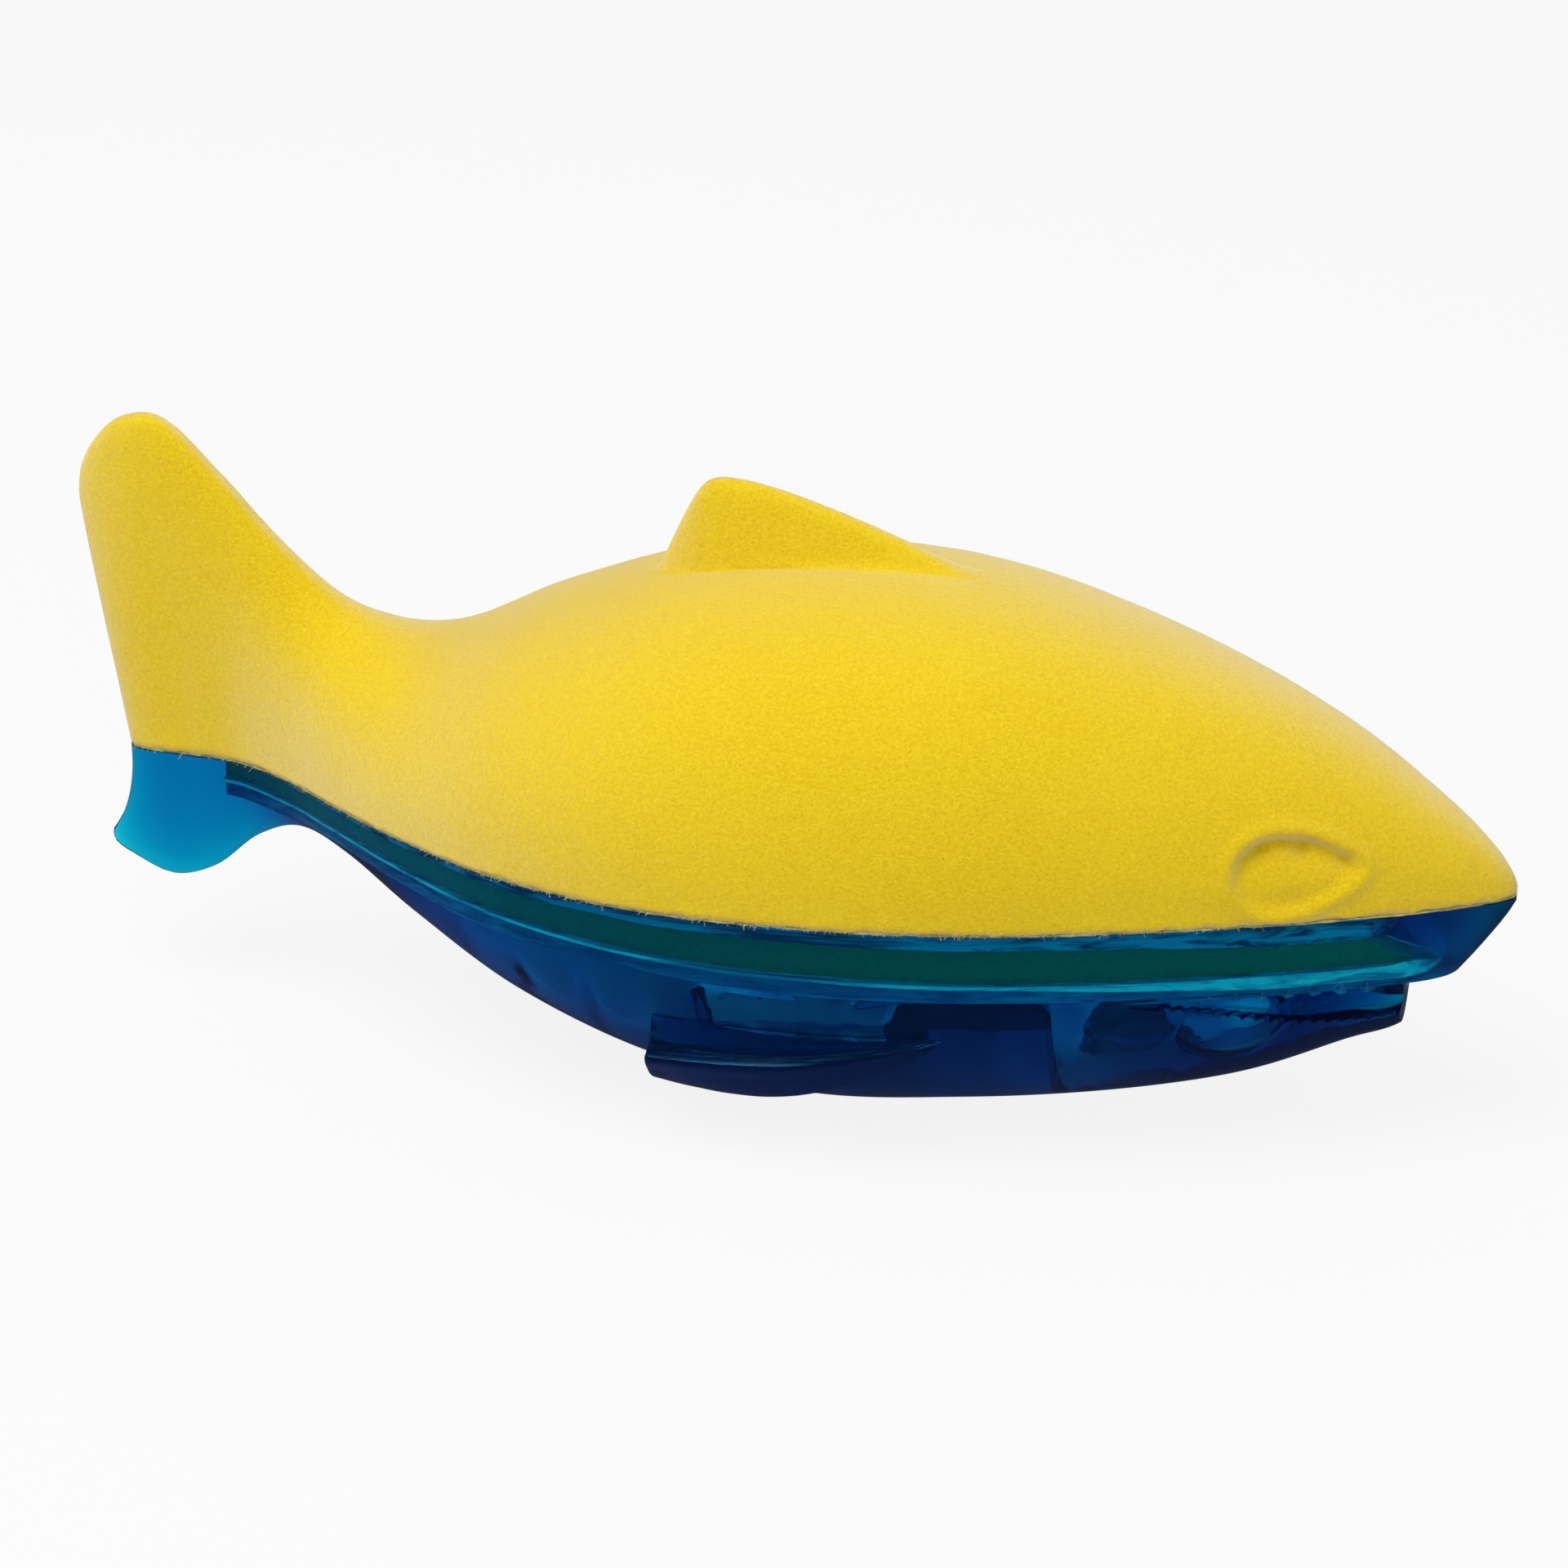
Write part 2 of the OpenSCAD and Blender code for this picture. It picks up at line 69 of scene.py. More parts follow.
# Rows from the tail to the nose, in shares of the sizes: place at the seam, half widths of the body
# and of the tail blade, place and height of the back, height of the tail, place and depth of the
# belly, depth of the lower lobe. Last is the power that draws the flank in above the seam: 1 is an
# ellipse and more is a waist under the blade.
ROWS = (
    (-0.943, 0, 0.3, -1, 0, 0.73, -0.984, 0, 0.7, 1),
    (-0.938, 0, 0.6, -0.994, 0, 0.82, -0.979, 0, 0.78, 1),
    (-0.926, 0, 0.85, -0.972, 0, 0.91, -0.95, 0, 0.86, 1),
    (-0.895, 0, 1, -0.93, 0, 0.985, -0.89, 0, 0.965, 2),
    (-0.83, 0.005, 1, -0.87, 0, 0.985, -0.825, 0, 0.86, 3),
    (-0.76, 0.035, 1, -0.79, 0.05, 0.79, -0.757, 0.035, 0.52, 4),
    (-0.68, 0.15, 1, -0.7, 0.18, 0.49, -0.68, 0.135, 0.2, 3),
    (-0.59, 0.35, 0.8, -0.6, 0.335, 0.215, -0.59, 0.295, 0.03, 1.7),
    (-0.475, 0.61, 0.3, -0.475, 0.495, 0.045, -0.475, 0.505, 0, 1.05),
    (-0.32, 0.86, 0, -0.32, 0.735, 0, -0.32, 0.735, 0, 0.95),
    (-0.13, 0.985, 0, -0.13, 0.91, 0, -0.13, 0.915, 0, 0.95),
    (0.08, 0.99, 0, 0.08, 0.99, 0, 0.08, 1, 0, 0.95),
    (0.29, 0.905, 0, 0.29, 0.97, 0, 0.29, 0.955, 0, 0.95),
    (0.485, 0.745, 0, 0.485, 0.85, 0, 0.485, 0.88, 0, 0.95),
    (0.655, 0.56, 0, 0.655, 0.69, 0, 0.655, 0.77, 0, 0.95),
    (0.79, 0.39, 0, 0.79, 0.51, 0, 0.79, 0.61, 0, 0.95),
    (0.89, 0.245, 0, 0.89, 0.33, 0, 0.865, 0.52, 0, 0.95),
    (0.955, 0.135, 0, 0.955, 0.19, 0, 0.93, 0.3, 0, 0.95),
    (0.989, 0.06, 0, 0.989, 0.085, 0, 0.975, 0.125, 0, 0.95),
    (1, 0.02, 0, 1, 0.03, 0, 1, 0.02, 0, 0.95),
)
# Powers that round the crown and the edge of the tail blade, and sweep the belly's ends
CROWN, BLADE_ROUND, KEEL_SWEEP = 0.95, 0.57, 2.5

# Shares of half the length: the ends of the tongue's neck, its bead and the line of glue
TONGUE_REAR_SHARE, TONGUE_FRONT_SHARE = -0.8, 0.837
BEAD_FRONT_SHARE, LINE_FRONT_SHARE = 0.87, 0.9
# Tables of places and values, in shares: the tongue's depth, the dorsal fin's height, the lower
# lip's drop, the mouth's depth, the pectoral fin's height and how it stands off from top to bottom
TONGUE_SHARES = ((-1, 0.42), (-0.6, 0.52), (-0.33, 0.75), (0, 0.95), (0.3, 1), (1, 1))
DORSAL_SHARES = ((-0.5, 0), (-0.465, 0.27), (-0.425, 0.55), (-0.388, 0.78), (-0.362, 0.91),
                 (-0.335, 0.98), (-0.29, 1), (-0.2, 0.965), (-0.06, 0.85), (0.08, 0.71),
                 (0.22, 0.53), (0.36, 0.28), (0.5, 0))
LOWER_LIP_SHARES = ((0, 0.12), (0.35, 0.5), (0.6, 0.85), (0.85, 1), (1, 0.95))
SLOT_SHARES = ((0, 0.2), (0.3, 0.9), (0.65, 1), (0.85, 1.5), (1, 2))
LEAF_SHARES = ((0, 0.02), (0.1, 0.24), (0.25, 0.48), (0.45, 0.77), (0.6, 0.91), (0.75, 0.98),
               (1, 1.06))
ACROSS_SHARES = ((0, 0.1), (0.15, 0.3), (0.3, 0.48), (0.36, 0.96), (0.6, 1), (0.85, 1), (1, 0.97))


def setting(name, description, default, subtype="NONE", **limits):
    """A number that the panel shows."""
    return FloatProperty(name=name, description=description, default=default, subtype=subtype,
                         **limits)


def length_prop(name, description, mm):
    """A length, given in millimetres and kept in metres."""
    return setting(name, description, mm * MM, unit="LENGTH", min=0, precision=4)


def colour_prop(name, description, default):
    """A colour that the panel shows."""
    return FloatVectorProperty(name=name, description=description, default=default,
                               subtype="COLOR", size=3, min=0, max=1)


class FishSizes(bpy.types.PropertyGroup):
    """Sizes of the toy's pieces"""
    length: length_prop("Length", "From the nose to the rear of the tail", 190)
    beam: length_prop("Beam", "Greatest width at the seam", 65)
    back_h: length_prop("Back height", "Crown of the back above the seam", 36.6)
    belly_d: length_prop("Belly depth", "Keel of the belly below the seam, uncut", 36.5)
    tail_h: length_prop("Tail height", "Tip of the upper tail lobe above the seam", 46.6)
    lobe_d: length_prop("Lower lobe", "Lowest point of the tail below the seam", 20)
    tail_t: length_prop("Tail thickness", "Thickness of the tail blade", 7)
    dorsal_l: length_prop("Dorsal fin length", "Length of the dorsal fin's base", 54)
    dorsal_h: length_prop("Dorsal fin height", "Tip of the fin above the back", 9)
    dorsal_t: length_prop("Dorsal fin thickness", "Thickness of the dorsal fin", 7)
    pectoral_l: length_prop("Pectoral fin length", "Length of a pectoral fin", 38)
    pectoral_h: length_prop("Pectoral fin height", "Height at its rear end", 14.5)
    pectoral_out: length_prop("Pectoral stand-off", "How far its lower edge stands off", 5)
    eye_l: length_prop("Eye length", "Length of an eye", 16.2)
    eye_d: length_prop("Eye depth", "Depth of the pressed eye", 1.25)
    mouth_l: length_prop("Mouth length", "From the corner to the jaw's front", 32)
    mouth_h: length_prop("Mouth opening", "Opening at the front of the jaw", 6)
    mouth_d: length_prop("Mouth depth", "Depth of the groove in the cheeks", 2.4)
    tooth_h: length_prop("Upper tooth", "Height of the front upper tooth", 1.3)
    bead_d: length_prop("Lower tooth", "Diameter of a lower tooth", 2)
    rim_w: length_prop("Rim width", "Width of the rubber rim round the tongue", 3.2)
    tongue_d: length_prop("Tongue depth", "Depth of the foam tongue", 8)
    neck_d: length_prop("Neck depth", "Depth of the tongue's neck", 3.2)
    neck_step: length_prop("Neck step", "Step between the neck and the bead", 1.6)
    tongue_gap: length_prop("Tongue gap", "Clearance round the tongue", 0.3)
    ledge_w: length_prop("Ledge width", "Width of the ledge under the tongue", 3)
    floor_t: length_prop("Floor", "Wall of the belly under the chamber", 4)
    chamber_l: length_prop("Chamber length", "Length of the air chamber", 122)
    fibres: IntProperty(name="Fibres", description="Loose fibres along the foam's edge",
                        default=3600, min=0, max=6000)


class FishColours(bpy.types.PropertyGroup):
    """Colours of the toy's pieces"""
    foam_light: colour_prop("Foam, light", "Tips of the flock", (0.91, 0.69, 0.022))
    foam_deep: colour_prop("Foam, deep", "Between the fibres", (0.74, 0.46, 0.0))
    foam_glued: colour_prop("Foam, glued", "The foam under the dried adhesive", (0.56, 0.5, 0.09))
    rubber: colour_prop("Rubber", "What light keeps where it enters or leaves the rubber",
                        (0.08, 0.95, 0.97))
    rubber_depth: colour_prop("Rubber depth", "What light keeps on its way through the rubber",
                              (0.0, 0.82, 0.91))
    rubber_density: setting("Rubber density", "Absorption per metre", 1200, min=0, max=5000)
    glue: colour_prop("Glue", "The dried adhesive", (0.6, 0.52, 0.18))
    # Near white: partly the adhesive, partly a painted bright line and glints where it shows
    # through the rubber
    glue_wet_and_glint: colour_prop("Glue film", "The adhesive that wets the rubber", (0.88, 0.9, 0.9))
    plastic: colour_prop("Squeaker", "The squeaker's plastic", (0.84, 0.86, 0.84))
    brass: colour_prop("Reed", "The squeaker's reed", (0.72, 0.5, 0.2))


class FishStage(bpy.types.PropertyGroup):
    """Camera, floor and lights"""
    azimuth: setting("Azimuth", "Camera's angle round the toy", radians(14.4), "ANGLE")
    elevation: setting("Elevation", "Camera's angle above the floor", radians(26), "ANGLE")
    distance: length_prop("Distance", "From the camera to the middle of the toy", 600)
    aim_x: length_prop("Aim X", "Where the camera looks, along the toy", 0.3)
    aim_z: length_prop("Aim Z", "Where the camera looks, above the floor", 39.2)
    lens: setting("Lens", "Focal length", 106.5, "DISTANCE_CAMERA", min=20)
    floor: colour_prop("Floor", "Colour of the floor", (0.6, 0.6, 0.6))
    key: setting("Key light", "Power of the large lamp", 8.3, "POWER")
    fill: setting("Fill light", "Power of the side lamp", 1.2, "POWER")
    sky: setting("Sky", "Strength of the light from all round", 0.49)
    mirrored: setting("Mirrored", "White that reflections show", 0.03, "FACTOR")
    # Painted reflection: reflections show the floor's colour painted down to this share
    floor_painted_dark_in_reflections: setting("Mirrored floor", "Floor that reflections show", 0.07, "FACTOR")
    seen_through: setting("Seen through", "White that clear pieces show", 0.62, "FACTOR")
    # Painted shadow: how dark the floor and its white are round the belly, seen through the rubber
    painted_shadow_under_belly: setting("Under the belly", "Share of that white under the toy", 0.4, "FACTOR")


def between(table, x):
    """The value at x in a table of places and values, straight from row to row."""
    if x <= table[0][0]:
        return table[0][1]
    for (x0, v0), (x1, v1) in zip(table, table[1:]):
        if x <= x1:
            return v0 + (v1 - v0) * (x - x0) / (x1 - x0)
    return table[-1][1]


def curved(table, x):
    """The value at x on a smooth curve through a table of places and values."""
    n = len(table)
    x = min(max(x, table[0][0]), table[-1][0])
    i = max(k for k in range(n - 1) if table[k][0] <= x)

    def slope(k):
        lo, hi = table[max(k - 1, 0)], table[min(k + 1, n - 1)]
        return (hi[1] - lo[1]) / (hi[0] - lo[0])
    (x0, v0), (x1, v1) = table[i], table[i + 1]
    w = x1 - x0
    t = (x - x0) / w
    return ((2 * t ** 3 - 3 * t ** 2 + 1) * v0 + (t ** 3 - 2 * t ** 2 + t) * w * slope(i)
            + (3 * t ** 2 - 2 * t ** 3) * v1 + (t ** 3 - t ** 2) * w * slope(i + 1))


def ease(x):
    """0 below 0, 1 above 1 and a smooth rise between."""
    x = min(max(x, 0), 1)
    return x * x * (3 - 2 * x)


# A row in metres: the tail's height is part of the crown and the lower lobe part of the keel
Ring = namedtuple("Ring", "x body blade back_x crown keel_x keel waist")


def ripple(x, waves, row):
    """Smooth noise along the body, with a number of waves per metre. Each row is another noise."""
    return noise.noise(Vector((x * waves, row, 0)))


def zone(x, start, rise, end, fall):
    """1 between two places and 0 outside them, with a smooth rise and fall."""
    return ease((x - start) / rise) * ease((end - x) / fall)


class Hull:
    """The toy's outer form: rings along the body, with the sizes of each."""
    # The least rings from row to row, and how much deeper the neck is towards the front
    ROWS_MIN, NECK_MORE = 3, 0.8 * MM
    # The wedge at the recess's front: its half width at the tip, and its growth per metre behind
    WEDGE_TIP, WEDGE_SLOPE = 2.6 * MM, 2.6

    def __init__(self, s, step):
        self.s = s
        half = s.length / 2
        sized = (Ring(x * half, body * s.beam / 2, blade * s.tail_t / 2,
                      back_x * half, back * s.back_h + tail * s.tail_h,
                      keel_x * half, keel * s.belly_d + lobe * s.lobe_d, waist)
                 for x, body, blade, back_x, back, tail, keel_x, keel, lobe, waist in ROWS)
        columns = list(zip(*sized))
        xs = columns[0]
        places = []
        for i in range(len(xs) - 1):
            n = max(self.ROWS_MIN, ceil((xs[i + 1] - xs[i]) / step))
            places += [i + j / n for j in range(n)]
        places.append(len(xs) - 1)
        self.rings = [Ring(*(self.spline(c, r) for c in columns)) for r in places]
        self.xs = [r.x for r in self.rings]

    @staticmethod
    def spline(v, r):
        """The curve through the values v at row r."""
        last = len(v) - 1
        i = min(int(r), last - 1)
        t = r - i
        a, b, c, d = v[max(i - 1, 0)], v[i], v[i + 1], v[min(i + 2, last)]
        return b + t / 2 * (c - a + t * (2 * a - 5 * b + 4 * c - d + t * (3 * (b - c) + d - a)))

    def at(self, x, value):
        """A value between two rings: value(ring) at the place x along the seam."""
        xs, rings = self.xs, self.rings
        if x <= xs[0]:
            return value(rings[0])
        if x >= xs[-1]:
            return value(rings[-1])
        lo, hi = 0, len(xs) - 1
        while hi - lo > 1:
            mid = (lo + hi) // 2
            lo, hi = (mid, hi) if xs[mid] <= x else (lo, mid)
        t = (x - xs[lo]) / (xs[hi] - xs[lo])
        return value(rings[lo]) * (1 - t) + value(rings[hi]) * t

    def half(self, x):
        """Half width at the seam."""
        return self.at(x, lambda r: r.body + r.blade)

    def crown(self, x):
        """Height of the back over the seam."""
        return self.at(x, lambda r: r.crown)

    def keel(self, x):
        """Depth of the belly under the seam."""
        return self.at(x, lambda r: r.keel)

    def belly(self, x, depth):
        """Half width of the belly at a depth under the seam."""
        share = min(1, depth / self.keel(x))
        return self.half(x) * sqrt(max(0, 1 - share ** (2 / CROWN)))

    def cheek(self, x, rise):
        """Half width of the back at a height over the seam."""
        share = min(1, rise / self.crown(x))
        return self.half(x) * max(0, 1 - share ** (2 / CROWN)) ** (CROWN / 2)

    def tongue(self, x):
        """The tongue's depth in shares of its greatest."""
        return between(TONGUE_SHARES, 2 * x / self.s.length)

    def neck(self, x, front):
        """Depth of the step between the tongue's neck and its bead, which grows to the front."""
        return self.s.neck_d * self.tongue(x) + self.NECK_MORE * ease((x / front - 0.5) / 0.4)

    def inner(self, x, front):
        """Half width of the recess, which closes to a wedge at its front."""
        s = self.s
        room = self.WEDGE_TIP + self.WEDGE_SLOPE * (front - x)
        return max(min(self.half(x) - s.rim_w, room) + s.tongue_gap, 2 * s.tongue_gap)


def arch(ring, angle, tip_x, rise, sweep, waist):
    """A point of a half ring over the body, from its right side at 0 to its left at pi."""
    c = abs(cos(angle))
    t = max(sin(angle), 0) ** CROWN
    half = ring.blade * c ** BLADE_ROUND + ring.body * c ** waist
    side = -1 if angle < pi / 2 else 1
    return Vector((ring.x + (tip_x - ring.x) * t ** sweep, side * half, rise * t))


def loft(rings, steps, place):
    """A tube from a grid: place(i, j) is point j of ring i, and the last point meets the first."""
    bm = bmesh.new()
    bmesh.ops.create_grid(bm, x_segments=rings - 1, y_segments=steps, size=1)
    for v in bm.verts:
        i = round((v.co.x + 1) / 2 * (rings - 1))
        j = round((v.co.y + 1) / 2 * steps) % steps
        v.co = place(i, j)
    bmesh.ops.remove_doubles(bm, verts=bm.verts, dist=WELD)
    open_edges = [e for e in bm.edges if e.is_boundary]
    if open_edges:
        bmesh.ops.holes_fill(bm, edges=open_edges, sides=0)
    return bm


def bar(rear, front, rings, section):
    """A closed bar along the body: section(x) gives its corners at x, each as y and z."""
    def place(i, j):
        x = rear + (front - rear) * i / (rings - 1)
        return Vector((x, *section(x)[j]))

    return loft(rings, len(section(rear)), place)


def slab(half, high, low):
    """The four corners of a bar's section that is flat above, below and at its sides."""
    return (-half, high), (half, high), (half, low), (-half, low)


def shade(bm, sharp):
    """Shades a mesh smooth, but for edges that turn by more than an angle in degrees."""
    for f in bm.faces:
        f.smooth = True
    for e in bm.edges:
        e.smooth = e.calc_face_angle(0) < radians(sharp)


def add_piece(bm, name, finish, sharp=40, weld=WELD):
    """Makes a mesh of bm with outward faces, smooth up to an angle, and adds it to the scene."""
    bmesh.ops.remove_doubles(bm, verts=bm.verts, dist=weld)
    bmesh.ops.recalc_face_normals(bm, faces=bm.faces)
    shade(bm, sharp)
    mesh = bpy.data.meshes.new(name)
    bm.to_mesh(mesh)
    bm.free()
    mesh.materials.append(finish)
    piece = bpy.data.objects.new(name, mesh)
    bpy.context.scene.collection.objects.link(piece)
    return piece


def cut(piece, tool, operation="DIFFERENCE"):
    """Joins a closed mesh to a piece or takes it away, and removes the tool."""
    step = piece.modifiers.new("cut", "BOOLEAN")
    step.operation = operation
    step.solver = "MANIFOLD"
    step.object = tool
    graph = bpy.context.evaluated_depsgraph_get()
    mesh = bpy.data.meshes.new_from_object(piece.evaluated_get(graph))
    old = piece.data
    piece.modifiers.clear()
    piece.data = mesh
    mesh.name = piece.name
    bpy.data.meshes.remove(old)
    used = tool.data
    bpy.data.objects.remove(tool)
    bpy.data.meshes.remove(used)


class Nodes:
    """A node tree that is filled node by node."""

    def __init__(self, tree):
        self.tree = tree

    def feed(self, socket, value):
        """Links another node's output to a socket, or sets a plain value. Colours are opaque."""
        if isinstance(value, bpy.types.NodeSocket):
            self.tree.links.new(value, socket)
        elif socket.type == "RGBA":
            socket.default_value = (*value[:3], 1)
        else:
            socket.default_value = value

    def node(self, kind, sockets, **settings):
        """Adds a node with some settings and feeds its sockets, by name or by number."""
        made = self.tree.nodes.new(kind)
        for key, value in settings.items():
            setattr(made, key, value)
        for key, value in sockets.items():
            self.feed(made.inputs[key], value)
        return made

    def maths(self, operation, *values, clamp=False):
        """A sum or product of values and other nodes' outputs."""
        return self.node("ShaderNodeMath", dict(enumerate(values)), operation=operation,
                         use_clamp=clamp).outputs["Value"]

    def blend(self, share, a, b):
        """A shader between two others."""
        return self.node("ShaderNodeMixShader", {0: share, 1: a, 2: b}).outputs["Shader"]

    def rays(self):
        """What kind of ray sees a surface."""
        return self.node("ShaderNodeLightPath", {}).outputs


class Finish(Nodes):
    """A material that is built node by node."""

    def __init__(self, name):
        self.material = bpy.data.materials.new(name)
        self.material.use_nodes = True
        super().__init__(self.material.node_tree)
        self.shader = self.tree.nodes["Principled BSDF"]
        self.output = self.tree.nodes["Material Output"]
        self.place = self.node("ShaderNodeTexCoord", {}).outputs["Object"]

    def set(self, **values):
        """Feeds the shader's own sockets, named in words joined by underscores."""
        for key, value in values.items():
            self.feed(self.shader.inputs[key.replace("_", " ")], value)

    def mapped(self, scale, move=(0, 0, 0)):
        """Places in the piece, stretched and moved."""
        return self.node("ShaderNodeMapping", {"Vector": self.place, "Location": move,
                                               "Scale": scale}).outputs["Vector"]

    def noise(self, scale, detail=3, roughness=0.5, distortion=0):
        """Noise over the piece, 0 to 1, with a scale per metre."""
        return self.node("ShaderNodeTexNoise", {
            "Vector": self.place, "Scale": scale, "Detail": detail, "Roughness": roughness,
            "Distortion": distortion}).outputs["Fac"]

    def ramp(self, source, low, high, a=0.0, b=1.0):
        """Maps a value from low..high to a..b, clamped."""
        return self.node("ShaderNodeMapRange", {
            "Value": source, "From Min": low, "From Max": high, "To Min": a,
            "To Max": b}).outputs["Result"]

    def mix(self, factor, a, b):
        """A colour between a and b, each a colour or another node's output."""
        made = self.node("ShaderNodeMix", {"Factor": factor}, data_type="RGBA")
        for name, value in (("A", a), ("B", b)):
            self.feed(next(i for i in made.inputs if i.name == name and i.type == "RGBA"), value)
        return next(o for o in made.outputs if o.type == "RGBA")

    def bump(self, height, distance, strength=1.0, under=None):
        """The surface's direction over small heights, on top of another bump if there is one."""
        sockets = {"Height": height, "Distance": distance, "Strength": strength}
        if under is not None:
            sockets["Normal"] = under
        return self.node("ShaderNodeBump", sockets).outputs["Normal"]


def darker(colour, share):
    """A share of a colour."""
    return tuple(share * c for c in colour)


def flock_finish(name, light, deep):
    """Fine flock on moulded foam: mottled short fibres with a soft sheen and a few dark specks."""
    f = Finish(name)
    pile = f.noise(2500, 5, 0.72)
    tuft = f.noise(850, 3, 0.6)
    cloud = f.noise(35, 2)
    speck = f.noise(430, 2, 0.8, 1.5)
    colour = f.mix(f.ramp(pile, 0.3, 0.7), deep, light)
    colour = f.mix(f.ramp(tuft, 0.35, 0.7, 0, 0.06), colour, deep)
    colour = f.mix(f.ramp(cloud, 0.35, 0.75, 0, 0.25), colour, light)
    colour = f.mix(f.ramp(speck, 0.775, 0.8), colour, (0.16, 0.1, 0.02))
    soft = f.bump(f.noise(700, 3, 0.55), 0.16 * MM, 0.25)
    f.set(Base_Color=colour, Roughness=0.95, Specular_IOR_Level=0.1,
          Sheen_Weight=1.0, Sheen_Roughness=0.3, Sheen_Tint=(1, 1, 0.97),
          Normal=f.bump(pile, 0.3 * MM, 1, soft))
    return f.material


def rubber_finish(name, colours):
    """Clear blue rubber: it takes up red first, so thin walls are azure and thick ones navy."""
    f = Finish(name)
    along = f.node("ShaderNodeSeparateXYZ", {"Vector": f.place}).outputs["X"]
    worn = f.ramp(f.noise(240, 3), 0.3, 0.8, 0.03, 0.085)
    snout = f.ramp(along, 79 * MM, 86 * MM, 0, 0.3)
    wave = f.bump(f.noise(75, 2), 0.9 * MM, 0.35)
    f.set(Base_Color=colours.rubber, Transmission_Weight=0.996, IOR=1.34,
          Roughness=f.maths("ADD", worn, snout), Specular_Tint=(0.15, 0.5, 0.9),
          Sheen_Weight=0.07, Sheen_Roughness=0.9, Sheen_Tint=(0.01, 0.12, 1),
          Normal=f.bump(f.noise(520, 3, 0.6), 0.05 * MM, 0.4, wave))
    depth = f.node("ShaderNodeVolumeAbsorption", {"Color": colours.rubber_depth,
                                                  "Density": colours.rubber_density})
    f.feed(f.output.inputs["Volume"], depth.outputs["Volume"])
    return f.material


def glue_finish(name, colour):
    """Dried contact adhesive: a pale crust with darker lumps."""
    f = Finish(name)
    lumps = f.noise(700, 4, 0.6)
    f.set(Base_Color=f.mix(f.ramp(lumps, 0.35, 0.7), (0.2, 0.2, 0.09), colour),
          Roughness=0.42, Specular_IOR_Level=0.5, Normal=f.bump(lumps, 0.2 * MM, 0.8))
    return f.material


def film_finish(name, light, dark, low, high):
    """Adhesive pressed out into long streaks against the rubber. Its pale and dark streaks are
    partly painted light and shade: bright streaks and dark patches seen through the rubber.
    """
    f = Finish(name)
    f.place = f.mapped((0.07, 0.5, 1))
    streaks = f.noise(750, 3, 0.55, 0.6)
    f.set(Base_Color=f.mix(f.ramp(streaks, low, high), dark, light), Roughness=0.35,
          Normal=f.bump(streaks, 0.15 * MM, 0.6))
    return f.material


def plastic_finish(name, colour, clear=0.0):
    """Natural moulded plastic with a faint mottle."""
    f = Finish(name)
    cloud = f.noise(300, 2)
    f.set(Base_Color=f.mix(f.ramp(cloud, 0.3, 0.7), darker(colour, 0.82), colour),
          Transmission_Weight=clear, Roughness=f.ramp(f.noise(900, 3), 0.3, 0.7, 0.3, 0.5),
          Normal=f.bump(f.noise(1600, 2), 0.02 * MM, 0.4))
    return f.material


def brass_finish(name, colour):
    """Thin rolled brass with fine lines along the strip."""
    f = Finish(name)
    f.place = f.mapped((1, 1, 0.05))
    lines = f.noise(6000, 2)
    f.set(Base_Color=f.mix(f.ramp(lines, 0.3, 0.7), darker(colour, 0.8), colour), Metallic=1,
          Roughness=f.ramp(lines, 0.3, 0.7, 0.22, 0.4), Normal=f.bump(lines, 0.01 * MM, 0.3))
    return f.material


